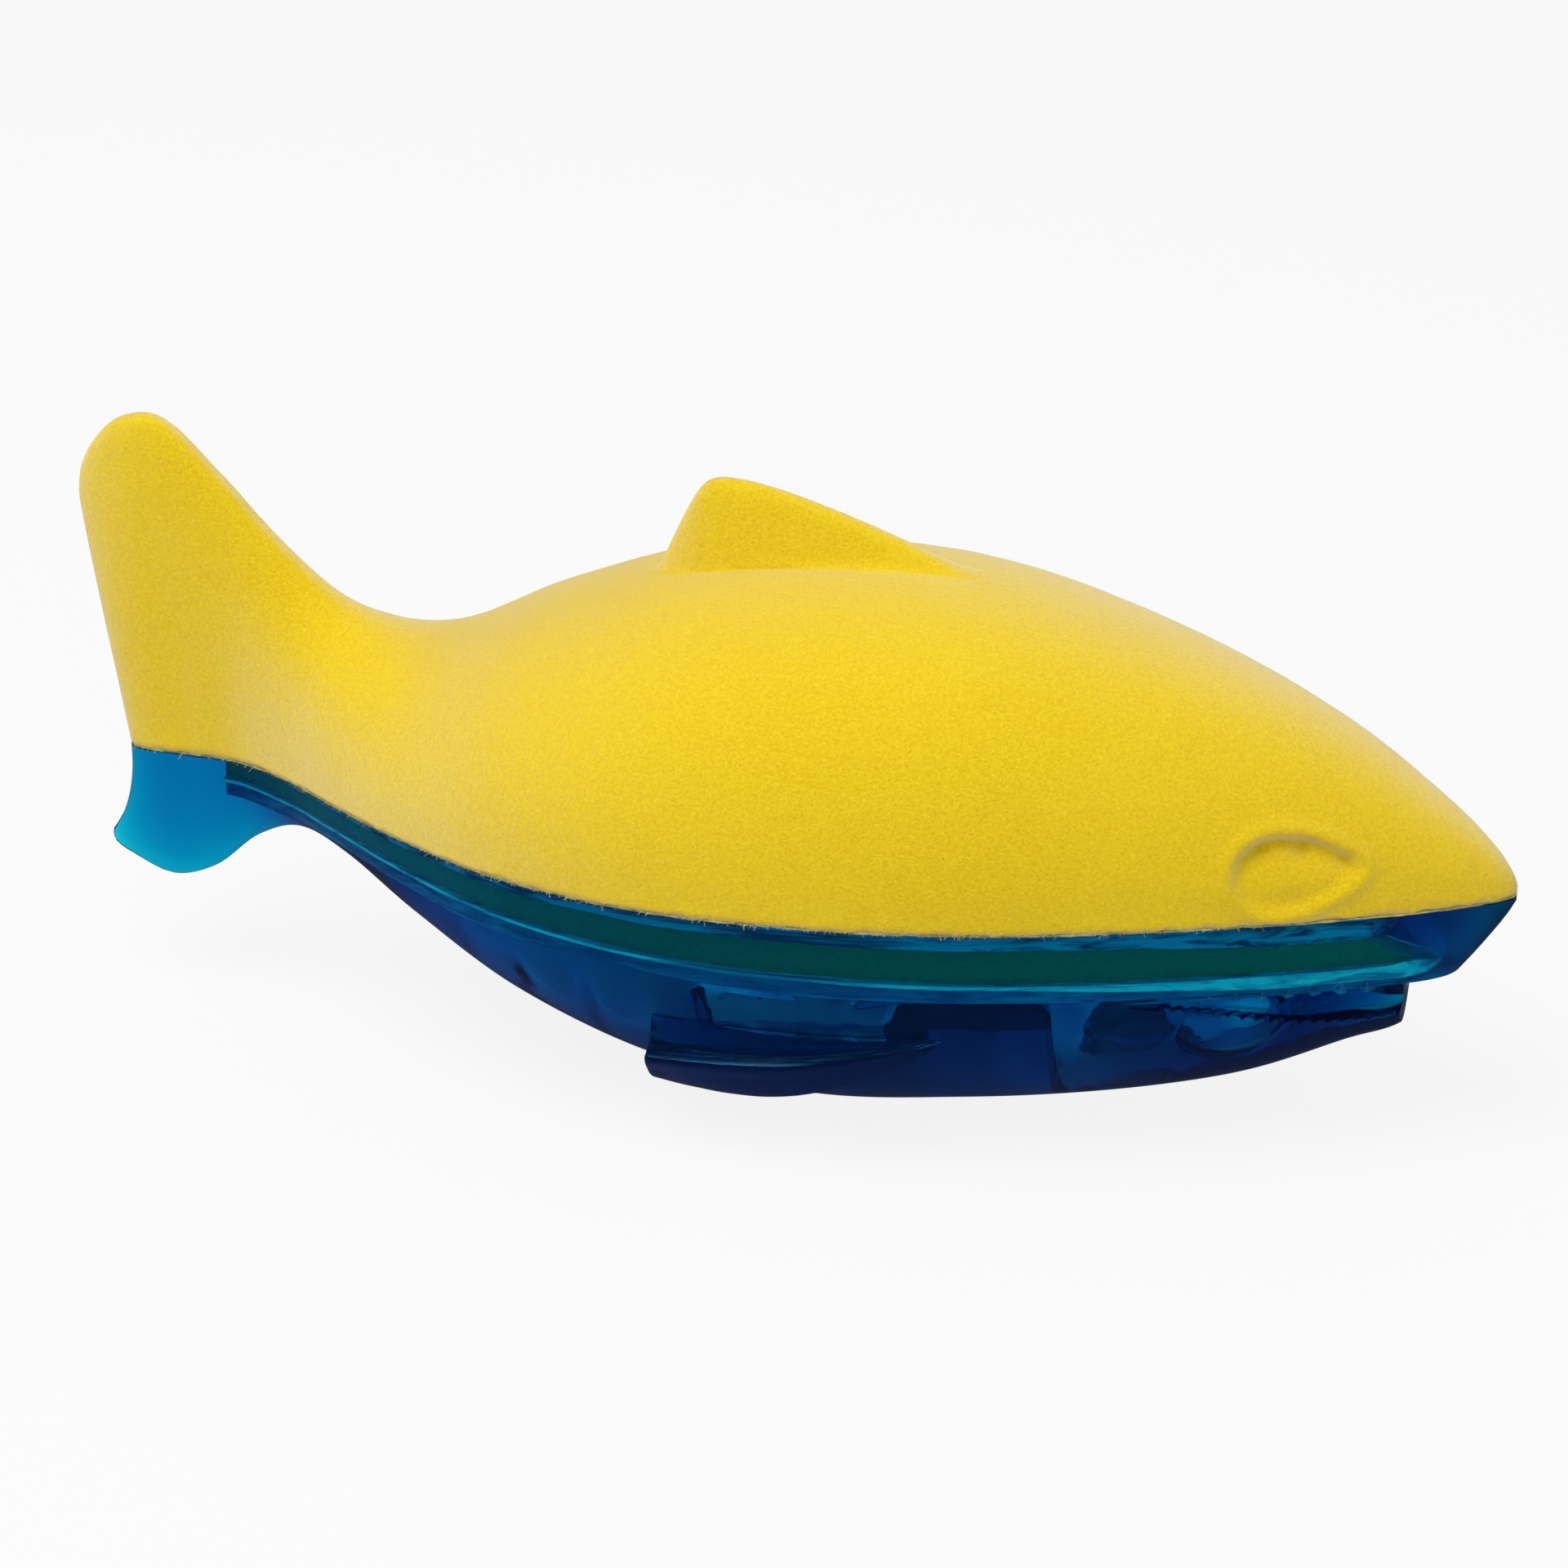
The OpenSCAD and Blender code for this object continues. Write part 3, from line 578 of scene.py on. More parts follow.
class Eye:
    """One eye pressed into the cheek: a drop, round behind and pointed in front."""
    X_SHARE, Z_SHARE, H_SHARE, POINT = 0.729, 0.182, 0.7, 0.6
    RIM_POINTS = 90
    # The wall falls over a width that starts outside the rim. The dish is shallower at its lower
    # edge, and its middle rises again towards a pupil.
    WALL, WALL_OUTSIDE = 1.3 * MM, 0.3 * MM
    LEVEL, TILT, LEVEL_MIN, LEVEL_MAX = 0.6, 0.75, 0.3, 1.4
    PUPIL, PUPIL_REACH = 0.35, 4 * MM
    # A lip of foam is pushed up round the rim
    LIP, LIP_AWAY, LIP_WIDTH = 0.34, 1.1 * MM, 0.8 * MM
    # Small dents by the upper edge and the point, in shares of half the length and half the height
    DENTS = ((-0.55, 0.72), (0.12, 0.66), (0.8, 0.26))
    DENT, DENT_RADIUS = 0.55, 1.1 * MM

    def __init__(self, hull):
        s = hull.s
        x, rise = self.X_SHARE * s.length / 2, self.Z_SHARE * s.back_h
        ahead, up = s.eye_l / 2, s.eye_l / 4
        turn = atan2(hull.cheek(x - ahead, rise) - hull.cheek(x + ahead, rise), 2 * ahead)
        tip = atan2(hull.cheek(x, rise - up) - hull.cheek(x, rise + up), 2 * up)
        self.centre = Vector((x, -hull.cheek(x, rise), FOAM_Z + rise))
        turned = Matrix.Rotation(turn, 3, "Z") @ Matrix.Rotation(pi / 2 - tip, 3, "X")
        self.along, self.up, self.out = turned.col[0], turned.col[1], turned.col[2]
        self.half, self.depth = s.eye_l / 2, s.eye_d
        self.rim = KDTree(self.RIM_POINTS)
        for k in range(self.RIM_POINTS):
            self.rim.insert(self.edge(2 * pi * k / self.RIM_POINTS).to_3d(), k)
        self.rim.balance()

    def edge(self, angle):
        """A point of the rim, along the eye and up."""
        high = self.H_SHARE * sin(angle) * abs(sin(angle / 2)) ** self.POINT
        return Vector((self.half * cos(angle), self.half * high))

    def push(self, point):
        """How far the surface is pressed in at a point of the right cheek."""
        offset = point - self.centre
        a, b = offset.dot(self.along), offset.dot(self.up)
        if abs(a) > 2 * self.half or abs(b) > self.half:
            return 0
        away = self.rim.find(Vector((a, b, 0)))[2]
        share = min(max(a / self.half, -1), 1)
        if abs(a) >= self.half or abs(b) >= self.edge(acos(share)).y:
            away = -away
        level = min(max(self.LEVEL + self.TILT * b / (self.half / 2), self.LEVEL_MIN),
                    self.LEVEL_MAX)
        dish = (ease((away + self.WALL_OUTSIDE) / self.WALL) * level
                * (1 - self.PUPIL * ease(away / self.PUPIL_REACH)))
        lip = self.LIP * exp(-((away + self.LIP_AWAY) / self.LIP_WIDTH) ** 2)
        dents = 0
        for da, db in self.DENTS:
            far = hypot(a - da * self.half, b - db * self.half / 2) / self.DENT_RADIUS
            dents += self.DENT * exp(-far * far)
        return self.depth * (dish + dents - lip)


class FISH_OT_foam_back(bpy.types.Operator):
    """Add the foam back with its tail lobe, dorsal fin and pressed eyes"""
    bl_idname = "fish.foam_back"
    bl_label = "Foam back"
    # Degrees above which an edge stays sharp, and the room between two rings
    SHARP, STEP = 55, 0.75 * MM
    # Degrees up one side of a ring, close together where the dorsal fin stands
    SIDE = (0, 0.4, 0.8, 1.25, 1.75, 2.3, *(1.45 * k for k in range(2, 55)),
            *(79.8 + 0.3 * k for k in range(23)), *(86.7 + 0.66 * k for k in range(6)))
    # Points across the flat underside, and how far it stays inside the skin
    UNDER, UNDER_IN = 14, 0.5 * MM
    # The skin draws in where it turns under at the seam, but not at the body's two ends
    TURN_HIGH, TURN_IN, TURN_OFF = 0.9 * MM, 0.45 * MM, 0.5 * MM
    # The dorsal fin: its middle along the body, the flat part of its crest, how the crest and then
    # the flanks fall away, how steeply the surface dives beside it in mm, and its foot's fillet
    FIN_X_SHARE, CREST, CREST_FALL, FLANK_FALL = 0.095, 0.4, 0.06, 0.8
    FOOT_FALL, FILLET, THINNEST = 34, 2.2 * MM, 0.01 * MM
    # Bumps of the skin: waves per metre, height in mm, and what the frayed lower edge adds
    SKIN = ((160, 0.1, 0), (420, 0.04, 0.12), (900, 0, 0.22))
    FRAYED, FRAY_WAVES = 2.6 * MM, 500

    def execute(self, context):
        s, colours = context.scene.fish_sizes, context.scene.fish_colours
        hull = Hull(s, self.STEP)
        eye = Eye(hull)
        left = (180 - a for a in reversed(self.SIDE[:-1]))
        angles = [radians(a) for a in (*self.SIDE, *left)]
        last = len(hull.rings) - 1

        def place(i, j):
            ring = hull.rings[i]
            if j < len(angles):
                p = arch(ring, angles[j], ring.back_x, ring.crown, 1, ring.waist)
                self.round_edge(p)
            else:
                share = 1 - 2 * (j - len(angles) + 1) / (self.UNDER + 1)
                p = Vector((ring.x, share * (ring.body + ring.blade - self.UNDER_IN), 0))
            if i in (0, last):
                p.y = 0
            p.z += FOAM_Z
            self.raise_fin(s, p)
            sink = eye.push(Vector((p.x, -abs(p.y), p.z)))
            p -= Vector((eye.out.x, copysign(eye.out.y, p.y), eye.out.z)) * sink
            self.weather(p)
            return p

        bm = loft(len(hull.rings), len(angles) + self.UNDER, place)
        finish = flock_finish("flocked_foam", colours.foam_light, colours.foam_deep)
        piece = add_piece(bm, "foam_back", finish, self.SHARP)
        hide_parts("foam_back")
        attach(piece, "back")
        return {"FINISHED"}

    def round_edge(self, p):
        """Draws the skin in where it turns under at the seam."""
        low = max(0, 1 - p.z / self.TURN_HIGH)
        if abs(p.y) > self.TURN_OFF:
            p.y -= copysign(self.TURN_IN * low ** 2, p.y)

    def raise_fin(self, s, p):
        """Lifts the back's surface to the dorsal fin, with a small fillet at its foot."""
        root = s.back_h / 4
        u = (p.x - self.FIN_X_SHARE * s.length / 2) / s.dorsal_l
        if abs(u) >= 0.5 or abs(p.y) > s.dorsal_t or p.z < FOAM_Z + s.back_h / 2:
            return
        high = max(curved(DORSAL_SHARES, u), 0) * (root + s.dorsal_h)
        thick = s.dorsal_t / 2 * sqrt(1 - abs(2 * u) ** 4)
        q = abs(p.y) / max(thick, self.THINNEST)
        top = (1 - self.CREST_FALL * (min(q, self.CREST) / self.CREST) ** 2
               - self.FLANK_FALL * max(q - self.CREST, 0))
        fin = FOAM_Z + s.back_h - root + high * top - max(0, q - 1) * self.FOOT_FALL * MM
        near = max(self.FILLET - abs(fin - p.z), 0) / self.FILLET
        p.z = max(fin, p.z) + near * near * self.FILLET / 4

    def weather(self, p):
        """Adds the small unevenness of the moulded skin and its frayed lower edge."""
        edge = ease(1 - (p.z - FOAM_Z) / self.FRAYED)
        bump = sum(noise.noise(p * waves) * (high + more * edge) for waves, high, more in self.SKIN)
        if abs(p.y) > MM:
            p.y += copysign(bump * MM, p.y)
        if p.z > FOAM_Z + MM:
            p.z += bump * MM * 0.6
        else:
            p.z += (0.3 * noise.noise(p * self.FRAY_WAVES) - 0.1) * MM


class FISH_OT_foam_tongue(bpy.types.Operator):
    """Add the stepped tongue under the foam back, which fills the rubber's recess"""
    bl_idname = "fish.foam_tongue"
    bl_label = "Foam tongue"
    RINGS, SHARP = 160, 50
    # How far the neck reaches up into the back, its least height ahead, where the bead starts to
    # taper behind the neck's front, and how much its upper side comes down there in mm
    NECK_UP, NECK_LEAST, TAPER, TAPER_DOWN = 0.3 * MM, 0.01 * MM, 3 * MM, 3.4

    def execute(self, context):
        s, colours = context.scene.fish_sizes, context.scene.fish_colours
        hull = Hull(s, 1.5 * MM)
        rear = TONGUE_REAR_SHARE * s.length / 2 + s.tongue_gap
        front = TONGUE_FRONT_SHARE * s.length / 2 - s.tongue_gap
        bead_front = BEAD_FRONT_SHARE * s.length / 2

        def section(x):
            bead = max(hull.half(x) - s.rim_w - s.tongue_gap, s.tongue_gap)
            neck = min(max(bead - s.neck_step, bead / 2), hull.inner(x, front) - s.tongue_gap)
            tip = ease((x - front + self.TAPER) / (bead_front - front + self.TAPER))
            step = hull.neck(x, front) + tip * self.TAPER_DOWN * MM
            top = -self.NECK_UP if x < front else step - self.NECK_LEAST
            left = [(w, FOAM_Z - d) for w, d in ((neck, top), (neck, step), (bead, step),
                                                 (bead, s.tongue_d * hull.tongue(x)))]
            return left + [(-w, z) for w, z in reversed(left)]

        bm = bar(rear, bead_front, self.RINGS, section)
        finish = flock_finish("glued_foam", colours.foam_glued, darker(colours.foam_glued, 0.7))
        piece = add_piece(bm, "foam_tongue", finish, self.SHARP)
        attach(piece, "back")
        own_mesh(piece)
        return {"FINISHED"}


class FISH_OT_fibres(bpy.types.Operator):
    """Add the loose fibres that stand out along the foam's lower edge"""
    bl_idname = "fish.fibres"
    bl_label = "Edge fibres"
    REAR_SHARE, FRONT_SHARE = -0.93, 0.72
    STEPS, SIDES, SHARP, SEED = 4, 3, 80, 7
    COLOUR = (0.88, 0.74, 0.28)
    # In mm: roots inside the skin and over the seam, lengths, and radii. A few fibres are longer.
    ROOT_IN, ROOT_HIGH, LENGTH, RADIUS = 0.3, (-0.1, 0.8), (0.25, 0.75), (0.012, 0.022)
    LONG_SHARE, LONGER = 0.03, 1.5

    def execute(self, context):
        s = context.scene.fish_sizes
        hull = Hull(s, 1.5 * MM)
        draw = random.Random(self.SEED)
        bm = bmesh.new()
        owner = bm.faces.layers.int.new("strand")
        paths = []
        for strand in range(s.fibres):
            x = draw.uniform(self.REAR_SHARE * s.length / 2, self.FRONT_SHARE * s.length / 2)
            side = draw.choice((-1, 1))
            slope = (hull.half(x + MM) - hull.half(x - MM)) / (2 * MM)
            out = Vector((-slope, side, 0)).normalized()
            along = Vector((side * out.y, -side * out.x, 0)) * draw.choice((-1, 1))
            root = Vector((x, side * (hull.half(x) - self.ROOT_IN * MM),
                           FOAM_Z + draw.uniform(*self.ROOT_HIGH) * MM))
            length = draw.uniform(*self.LENGTH) * MM
            length *= self.LONGER if draw.random() < self.LONG_SHARE else 1
            aim = (out * draw.uniform(0.2, 1) + along * draw.uniform(0, 1.3)
                   + Vector((0, 0, draw.uniform(-0.7, 0.3)))).normalized()
            curl = Vector(draw.uniform(-1, 1) for _ in range(3)) + Vector((0, 0, -0.4))
            self.tip(bm, root, aim, draw.uniform(*self.RADIUS) * MM)[owner] = strand
            paths.append([(aim + curl * (k / self.STEPS)) * (length / self.STEPS)
                          for k in range(self.STEPS)])
        faces = bm.faces[:]
        for k in range(self.STEPS):
            faces = bmesh.ops.extrude_discrete_faces(bm, faces=faces)["faces"]
            for face in faces:
                for v in face.verts:
                    v.co += paths[face[owner]][k]
        finish = plastic_finish("loose_fibre", self.COLOUR)
        piece = add_piece(bm, "edge_fibres", finish, self.SHARP, 0)
        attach(piece, "back")
        return {"FINISHED"}

    def tip(self, bm, root, aim, radius):
        """The end of a fibre, square to its aim."""
        across = aim.orthogonal().normalized()
        beside = aim.cross(across)
        turns = (2 * pi * k / self.SIDES for k in range(self.SIDES))
        return bm.faces.new([bm.verts.new(root + (across * cos(turn)
                                                  + beside * sin(turn)) * radius)
                             for turn in turns])


class FISH_OT_glue_seam(bpy.types.Operator):
    """Add the dried adhesive that shows along the seam"""
    bl_idname = "fish.glue_seam"
    bl_label = "Glue seam"
    # The crust's cut: across from its inner side to the skin, and up in shares of its thickness
    PROFILE = ((0, 0.5), (0.35, 0.95), (0.8, 1), (1, 0.55), (1, -0.4), (0.8, -1), (0, -0.6))
    CRUST_WIDTH, CRUST_SHARP = 1.6 * MM, 60
    # In mm: how far the crust stays inside the skin, but for what it comes out towards the snout
    BARE, SNOUT, SNOUT_REAR, SNOUT_LENGTH = 0.3, 0.2, 50 * MM, 25 * MM
    # The layers: rings and sharp edges, and how the line of glue draws in and thins at its front
    RINGS, SHARP, LINE_TAPER, LINE_ROUND = 300, 50, 4 * MM, 0.96

    def execute(self, context):
        s, colours = context.scene.fish_sizes, context.scene.fish_colours
        hull = Hull(s, 0.9 * MM)
        finish = glue_finish("dried_glue", colours.glue)
        piece = add_piece(self.crust(hull), "glue_crust", finish, self.CRUST_SHARP)
        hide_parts("glue_seam")
        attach(piece, "back")
        # The layers' pale and dark streaks, and the film's blues, are partly adhesive and partly
        # painted highlights and shade seen through the rubber
        # Upper and lower edge, front, mm out of the recess's side, and the streaks' finish
        for name, top, low, front, proud, shades in (
                ("glue_neck", self.below_seam, self.neck_edge, TONGUE_FRONT_SHARE + 0.002, 0.12,
                 (colours.glue_wet_and_glint, (0.03, 0.08, 0.12), 0.38, 0.56)),
                ("glue_line", self.tongue_edge, self.line_edge, LINE_FRONT_SHARE, 1.3,
                 (colours.glue_wet_and_glint, (0.08, 0.25, 0.4), 0.36, 0.58)),
                ("glue_film", self.line_edge, self.film_edge, BEAD_FRONT_SHARE, 0.12,
                 ((0.35, 0.5, 0.75), (0.02, 0.1, 0.28), 0.4, 0.8))):
            layer = add_piece(self.layer(hull, top, low, front, proud * MM), name,
                              film_finish(name, *shades), self.SHARP)
            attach(layer, "back")
            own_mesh(layer)
        return {"FINISHED"}

    def crust(self, hull):
        """The crust between the foam and the rubber, lumpy where it comes out at the skin."""
        sides = ([(1, q, z) for q, z in self.PROFILE]
                 + [(-1, q, z) for q, z in reversed(self.PROFILE)])
        last = len(hull.rings) - 1

        def place(i, j):
            ring = hull.rings[i]
            side, q, z = sides[j]
            half = ring.body + ring.blade
            p = Vector((ring.x, side * half, 0))
            bare = self.SNOUT * ease((p.x - self.SNOUT_REAR) / self.SNOUT_LENGTH) - self.BARE
            proud = bare + 0.3 * max(0, noise.noise(p * 130)) + 0.2 * noise.noise(p * 700)
            thick = 0.22 + 0.16 * noise.noise(p * 300 + Vector((5, 0, 0)))
            p.y = side * (max(half - self.CRUST_WIDTH, 0) * (1 - q) + (half + proud * MM) * q)
            p.z = (SEAM_Z + FOAM_Z) / 2 + z * thick * MM + 0.1 * MM * noise.noise(p * 90)
            if i in (0, last):
                p.y = 0
            return p

        return loft(len(hull.rings), len(sides), place)

    def below_seam(self, hull, x):
        """Depth under the foam, as are the four edges below."""
        return 0.6 * MM

    def neck_edge(self, hull, x):
        wave = 0.3 * MM * max(0, ripple(x, 90, 3))
        return hull.neck(x, TONGUE_FRONT_SHARE * hull.s.length / 2) - wave

    def tongue_edge(self, hull, x):
        front = BEAD_FRONT_SHARE * hull.s.length / 2
        rise = 0.4 * MM * ease((x - front + 2.5 * MM) / (2.5 * MM))
        return hull.s.tongue_d * hull.tongue(x) - 0.15 * MM - rise

    def line_edge(self, hull, x):
        front = TONGUE_FRONT_SHARE * hull.s.length / 2
        low = (0.32 + 1.6 * ease((x / front - 0.4) / 0.55)) * MM
        return hull.s.tongue_d * hull.tongue(x) + low * (1 + 0.3 * ripple(x, 60, 9))

    def film_edge(self, hull, x):
        low = 2.6 + 0.4 * ripple(x, 45, 5)
        return hull.s.tongue_d * hull.tongue(x) + low * MM

    def layer(self, hull, top, low, front_share, proud):
        """A layer of adhesive, with partly painted light and shade in its streaks, that fills the
        recess between two depths under the foam.
        """
        s, line = hull.s, proud > MM
        rear, front = TONGUE_REAR_SHARE * s.length / 2, front_share * s.length / 2

        def section(x):
            tip = max(0, 1 - (front - x) / self.LINE_TAPER) if line else 0
            half = hull.inner(x, front) - s.tongue_gap
            if line:
                half = max(hull.half(x) - s.rim_w - 2 * MM * tip * tip, 2 * s.tongue_gap)
            depths = top(hull, x), low(hull, x)
            middle, flat = sum(depths) / 2, sqrt(1 - self.LINE_ROUND * tip * tip)
            return slab(half + proud, *(FOAM_Z - (middle + (d - middle) * flat) for d in depths))

        return bar(rear, front, self.RINGS, section)


class FISH_OT_rubber_belly(bpy.types.Operator):
    """Add the hollow rubber belly with its jaws, teeth, fins and squeaker seat"""
    bl_idname = "fish.rubber_belly"
    bl_label = "Rubber belly"
    # The chamber's middle, the squeaker's place in it, the jaw's front and the upper lip's depth
    CHAMBER_SHARE, SQUEAKER_SHARE, JAW_SHARE, LIP_SHARE = 0.055, 0.6775, 0.862, 0.28
    # Degrees above which an edge stays sharp or is bevelled, and how close points are joined
    SHARP, BEVELLED, JOINED, LOST = 32, 60, 2e-6, 1e-6
    # How far the squeeze goes, and points round the belly and over its flat top
    SQUEEZE, TURNS, OVER = 6 * MM, 72, 14
    # Rings of the recess and of its undercut, and where the undercut starts in shares of the neck
    RECESS_RINGS, UNDERCUT_RINGS, UNDERCUT_SHARE = 150, 30, 0.9
    # The chamber: its rings, the flattening of its ends, and the least half width of its bowl
    CHAMBER_RINGS, CHAMBER_TURNS, SWELL, NARROWEST = 200, 48, (6, 0.42), 4 * MM
    # Its wall is thick beside the fins, in mm, and thin in a window above them: where each starts,
    # over what length it rises, where it ends (the thick wall behind the squeaker) and falls
    THICK, THICK_REAR, THICK_RISE, THICK_FRONT, THICK_FALL = 8, -12 * MM, 24 * MM, 7 * MM, 2.5 * MM
    WINDOW_X = -5 * MM, 3 * MM, 23 * MM, 3 * MM
    WINDOW_DEEP = 4 * MM, 1.5 * MM, 14 * MM, 2 * MM
    # The hollow beside the squeaker: place, depth, then length, width and height in mm, and wall
    POCKET_X, POCKET_DEPTH, POCKET_SIZE, POCKET_WALL = 59 * MM, 16 * MM, (17, 13, 12), 1.6 * MM
    # The bell of rubber round the squeaker: its height, foot, top and rounded edge
    BELL_HIGH, BELL_FOOT, BELL_TOP, BELL_ROUND = 6.2 * MM, 8.82 * MM, 6.48 * MM, 0.6 * MM
    # The room for the squeaker's barrel and flange
    BARREL_R, BARREL_HIGH, FLANGE_HIGH, FLANGE_GAP = 4.55 * MM, 6 * MM, 1.4 * MM, 0.05 * MM
    MOUTH_RINGS, UPPER_TEETH, LOWER_TEETH = 60, 7, 17
    # The pectoral fin: where its front and upper edge lie, how it leans back, its least stand-off
    FIN_SHARE, FIN_TOP_SHARE, FIN_RAKE, FIN_FLAT = 0.29, 0.43, 0.058, 0.12
    FIN_RINGS, FIN_ACROSS = 70, 36

    def execute(self, context):
        s, colours = context.scene.fish_sizes, context.scene.fish_colours
        self.s, self.hull = s, Hull(s, 0.9 * MM)
        self.finish = rubber_finish("clear_blue_rubber", colours)
        self.chamber_x = self.CHAMBER_SHARE * s.length / 2
        self.squeaker_x = self.chamber_x + self.SQUEAKER_SHARE * s.chamber_l / 2
        self.mouth_front = self.JAW_SHARE * s.length / 2
        self.mouth_rear = self.mouth_front - s.mouth_l
        self.lip_d = self.LIP_SHARE * s.belly_d
        piece = add_piece(self.shell(), "rubber_belly", self.finish)
        for side in (1, -1):
            self.cut(piece, self.pectoral_fin(side), "UNION")
            self.cut(piece, self.upper_teeth(side), "UNION")
        self.cut(piece, self.recess())
        self.cut(piece, self.undercut())
        chamber = add_piece(self.chamber(), "chamber", self.finish)
        for side in (1, -1):
            self.cut(chamber, self.pocket(side), "UNION")
        self.cut(chamber, self.bell())
        cut(piece, chamber)
        for side in (1, -1):
            mouth = add_piece(self.mouth(side), "mouth", self.finish)
            self.cut(mouth, self.lower_teeth(side))
            cut(piece, mouth)
        self.cut(piece, self.jaw())
        low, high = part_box("squeaker_case")
        barrel_z = low.z + self.FLANGE_HIGH
        self.cut(piece, self.cylinder(self.BARREL_R, barrel_z + self.BARREL_HIGH))
        self.cut(piece, self.cylinder((high.x - low.x) / 2 + self.FLANGE_GAP, barrel_z))
        self.smooth(piece)
        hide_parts("rubber_belly")
        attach(piece, "belly")
        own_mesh(piece)
        return {"FINISHED"}

    def cut(self, piece, bm, operation="DIFFERENCE"):
        """Joins a shape to a piece or takes it away."""
        cut(piece, add_piece(bm, "tool", self.finish), operation)

    def smooth(self, piece):
        """Joins points that the cuts left close together, and marks the edges that stay sharp."""
        bm = bmesh.new()
        bm.from_mesh(piece.data)
        bmesh.ops.remove_doubles(bm, verts=bm.verts, dist=self.JOINED)
        bmesh.ops.dissolve_degenerate(bm, edges=bm.edges, dist=self.LOST)
        shade(bm, self.SHARP)
        bm.to_mesh(piece.data)
        bm.free()

    def shell(self):
        """The belly's outer form, flat on top and where it rests."""
        hull = self.hull
        last = len(hull.rings) - 1

        def place(i, j):
            ring = hull.rings[i]
            if j <= self.TURNS:
                p = arch(ring, pi * j / self.TURNS, ring.keel_x, ring.keel, KEEL_SWEEP, 1)
                p.z = -p.z
            else:
                share = 1 - 2 * (j - self.TURNS) / (self.OVER + 1)
                p = Vector((ring.x, share * (ring.body + ring.blade), 0))
            if i in (0, last):
                p.y = 0
            p.z += SEAM_Z
            return p

        bm = loft(len(hull.rings), self.TURNS + 1 + self.OVER, place)
        everything = bm.verts[:] + bm.edges[:] + bm.faces[:]
        bmesh.ops.bisect_plane(bm, geom=everything, plane_co=(0, 0, 0), plane_no=(0, 0, -1),
                               clear_outer=True)
        rim = [e for e in bm.edges if e.is_boundary]
        bmesh.ops.holes_fill(bm, edges=rim, sides=0)
        return bm

    def recess_floor(self, x):
        """Height of the ledge on which the tongue rests."""
        return FOAM_Z - (self.s.tongue_d + self.s.tongue_gap) * self.hull.tongue(x)

    def recess(self):
        """The space that the tongue fills, open above."""
        front = TONGUE_FRONT_SHARE * self.s.length / 2

        def section(x):
            half = self.hull.inner(x, front) - self.s.tongue_gap
            return slab(half, SEAM_Z + MM, self.recess_floor(x))

        rear = TONGUE_REAR_SHARE * self.s.length / 2
        return self.bevelled(bar(rear, front, self.RECESS_RINGS, section))

    def undercut(self):
        """The bead's reach ahead of the neck, under the snout."""
        s = self.s
        end, front = TONGUE_FRONT_SHARE * s.length / 2, LINE_FRONT_SHARE * s.length / 2

        def section(x):
            t = max(0, (x - end) / (front - end))
            half = max(self.hull.half(x) - s.rim_w - (0.2 + 2 * t * t) * MM, 2 * s.tongue_gap)
            under = s.neck_d + 0.7 * MM + t * (s.tongue_d - s.neck_d - 1.3 * MM)
            return slab(half, FOAM_Z - under, self.recess_floor(x))

        rear = self.UNDERCUT_SHARE * TONGUE_FRONT_SHARE * s.length / 2
        return self.bevelled(bar(rear, front, self.UNDERCUT_RINGS, section))

    def bevelled(self, bm):
        """Rounds the long edges of a bar."""
        edges = [e for e in bm.edges if e.calc_face_angle(0) > radians(self.BEVELLED)]
        bmesh.ops.bevel(bm, geom=edges, offset=0.5 * MM, segments=3, profile=0.5,
                        affect="EDGES", material=-1, clamp_overlap=True)
        return bm

    def chamber(self):
        """The air space: a bowl under the ledge, round at both ends."""
        s, hull = self.s, self.hull

        def place(i, j):
            u = 0.985 * sin(pi / 2 * (2 * i / (self.CHAMBER_RINGS - 1) - 1))
            x = self.chamber_x + u * s.chamber_l / 2
            turn = pi * j / self.CHAMBER_TURNS
            swell = (1 - abs(u) ** self.SWELL[0]) ** self.SWELL[1]
            half = (hull.half(x) - s.rim_w - s.ledge_w) * swell
            top = FOAM_Z - s.tongue_d * hull.tongue(x) + MM
            depth = max(hull.keel(x) - s.floor_t - (SEAM_Z - top), MM) * swell
            drop = depth * sin(turn)
            fins = zone(x, self.THICK_REAR, self.THICK_RISE, self.squeaker_x - self.THICK_FRONT,
                        self.THICK_FALL)
            thick = (self.THICK * fins + 1.3 * ripple(x, 170, 7)) * MM
            lower = thick * ease(1.2 * drop / s.tongue_d - 0.65) * swell
            window = zone(x, *self.WINDOW_X) * zone(drop, *self.WINDOW_DEEP)
            thin = (0.7 * ripple(x, 330, 3) - 2.2) * MM
            lower += (thin - lower) * window
            wide = max(half - lower, self.NARROWEST * swell) * cos(turn)
            return Vector((x, wide, top - drop))

        return loft(self.CHAMBER_RINGS, self.CHAMBER_TURNS + 1, place)

    def pocket(self, side):
        """A hollow that thins the wall beside the squeaker and lies along the skin."""
        x, depth, belly = self.POCKET_X, self.POCKET_DEPTH, self.hull.belly
        length, wide, high = (v * MM for v in self.POCKET_SIZE)
        reach, rise = 5 * MM, 4 * MM
        y = belly(x, depth + high / 2) - self.POCKET_WALL
        lean = atan2(belly(x, depth + rise) - belly(x, depth - rise), 2 * rise)
        turn = atan2(belly(x + reach, depth) - belly(x - reach, depth), 2 * reach)
        bm = bmesh.new()
        bmesh.ops.create_uvsphere(bm, u_segments=32, v_segments=20, radius=0.5)
        spot = Matrix.Translation((x, -side * (y - wide / 2), SEAM_Z - depth))
        turned = Matrix.Rotation(-side * turn, 4, "Z") @ Matrix.Rotation(-side * lean, 4, "X")
        shape = Matrix.Diagonal((length, wide, high, 1))
        bmesh.ops.transform(bm, matrix=spot @ turned @ shape, verts=bm.verts)
        return bm

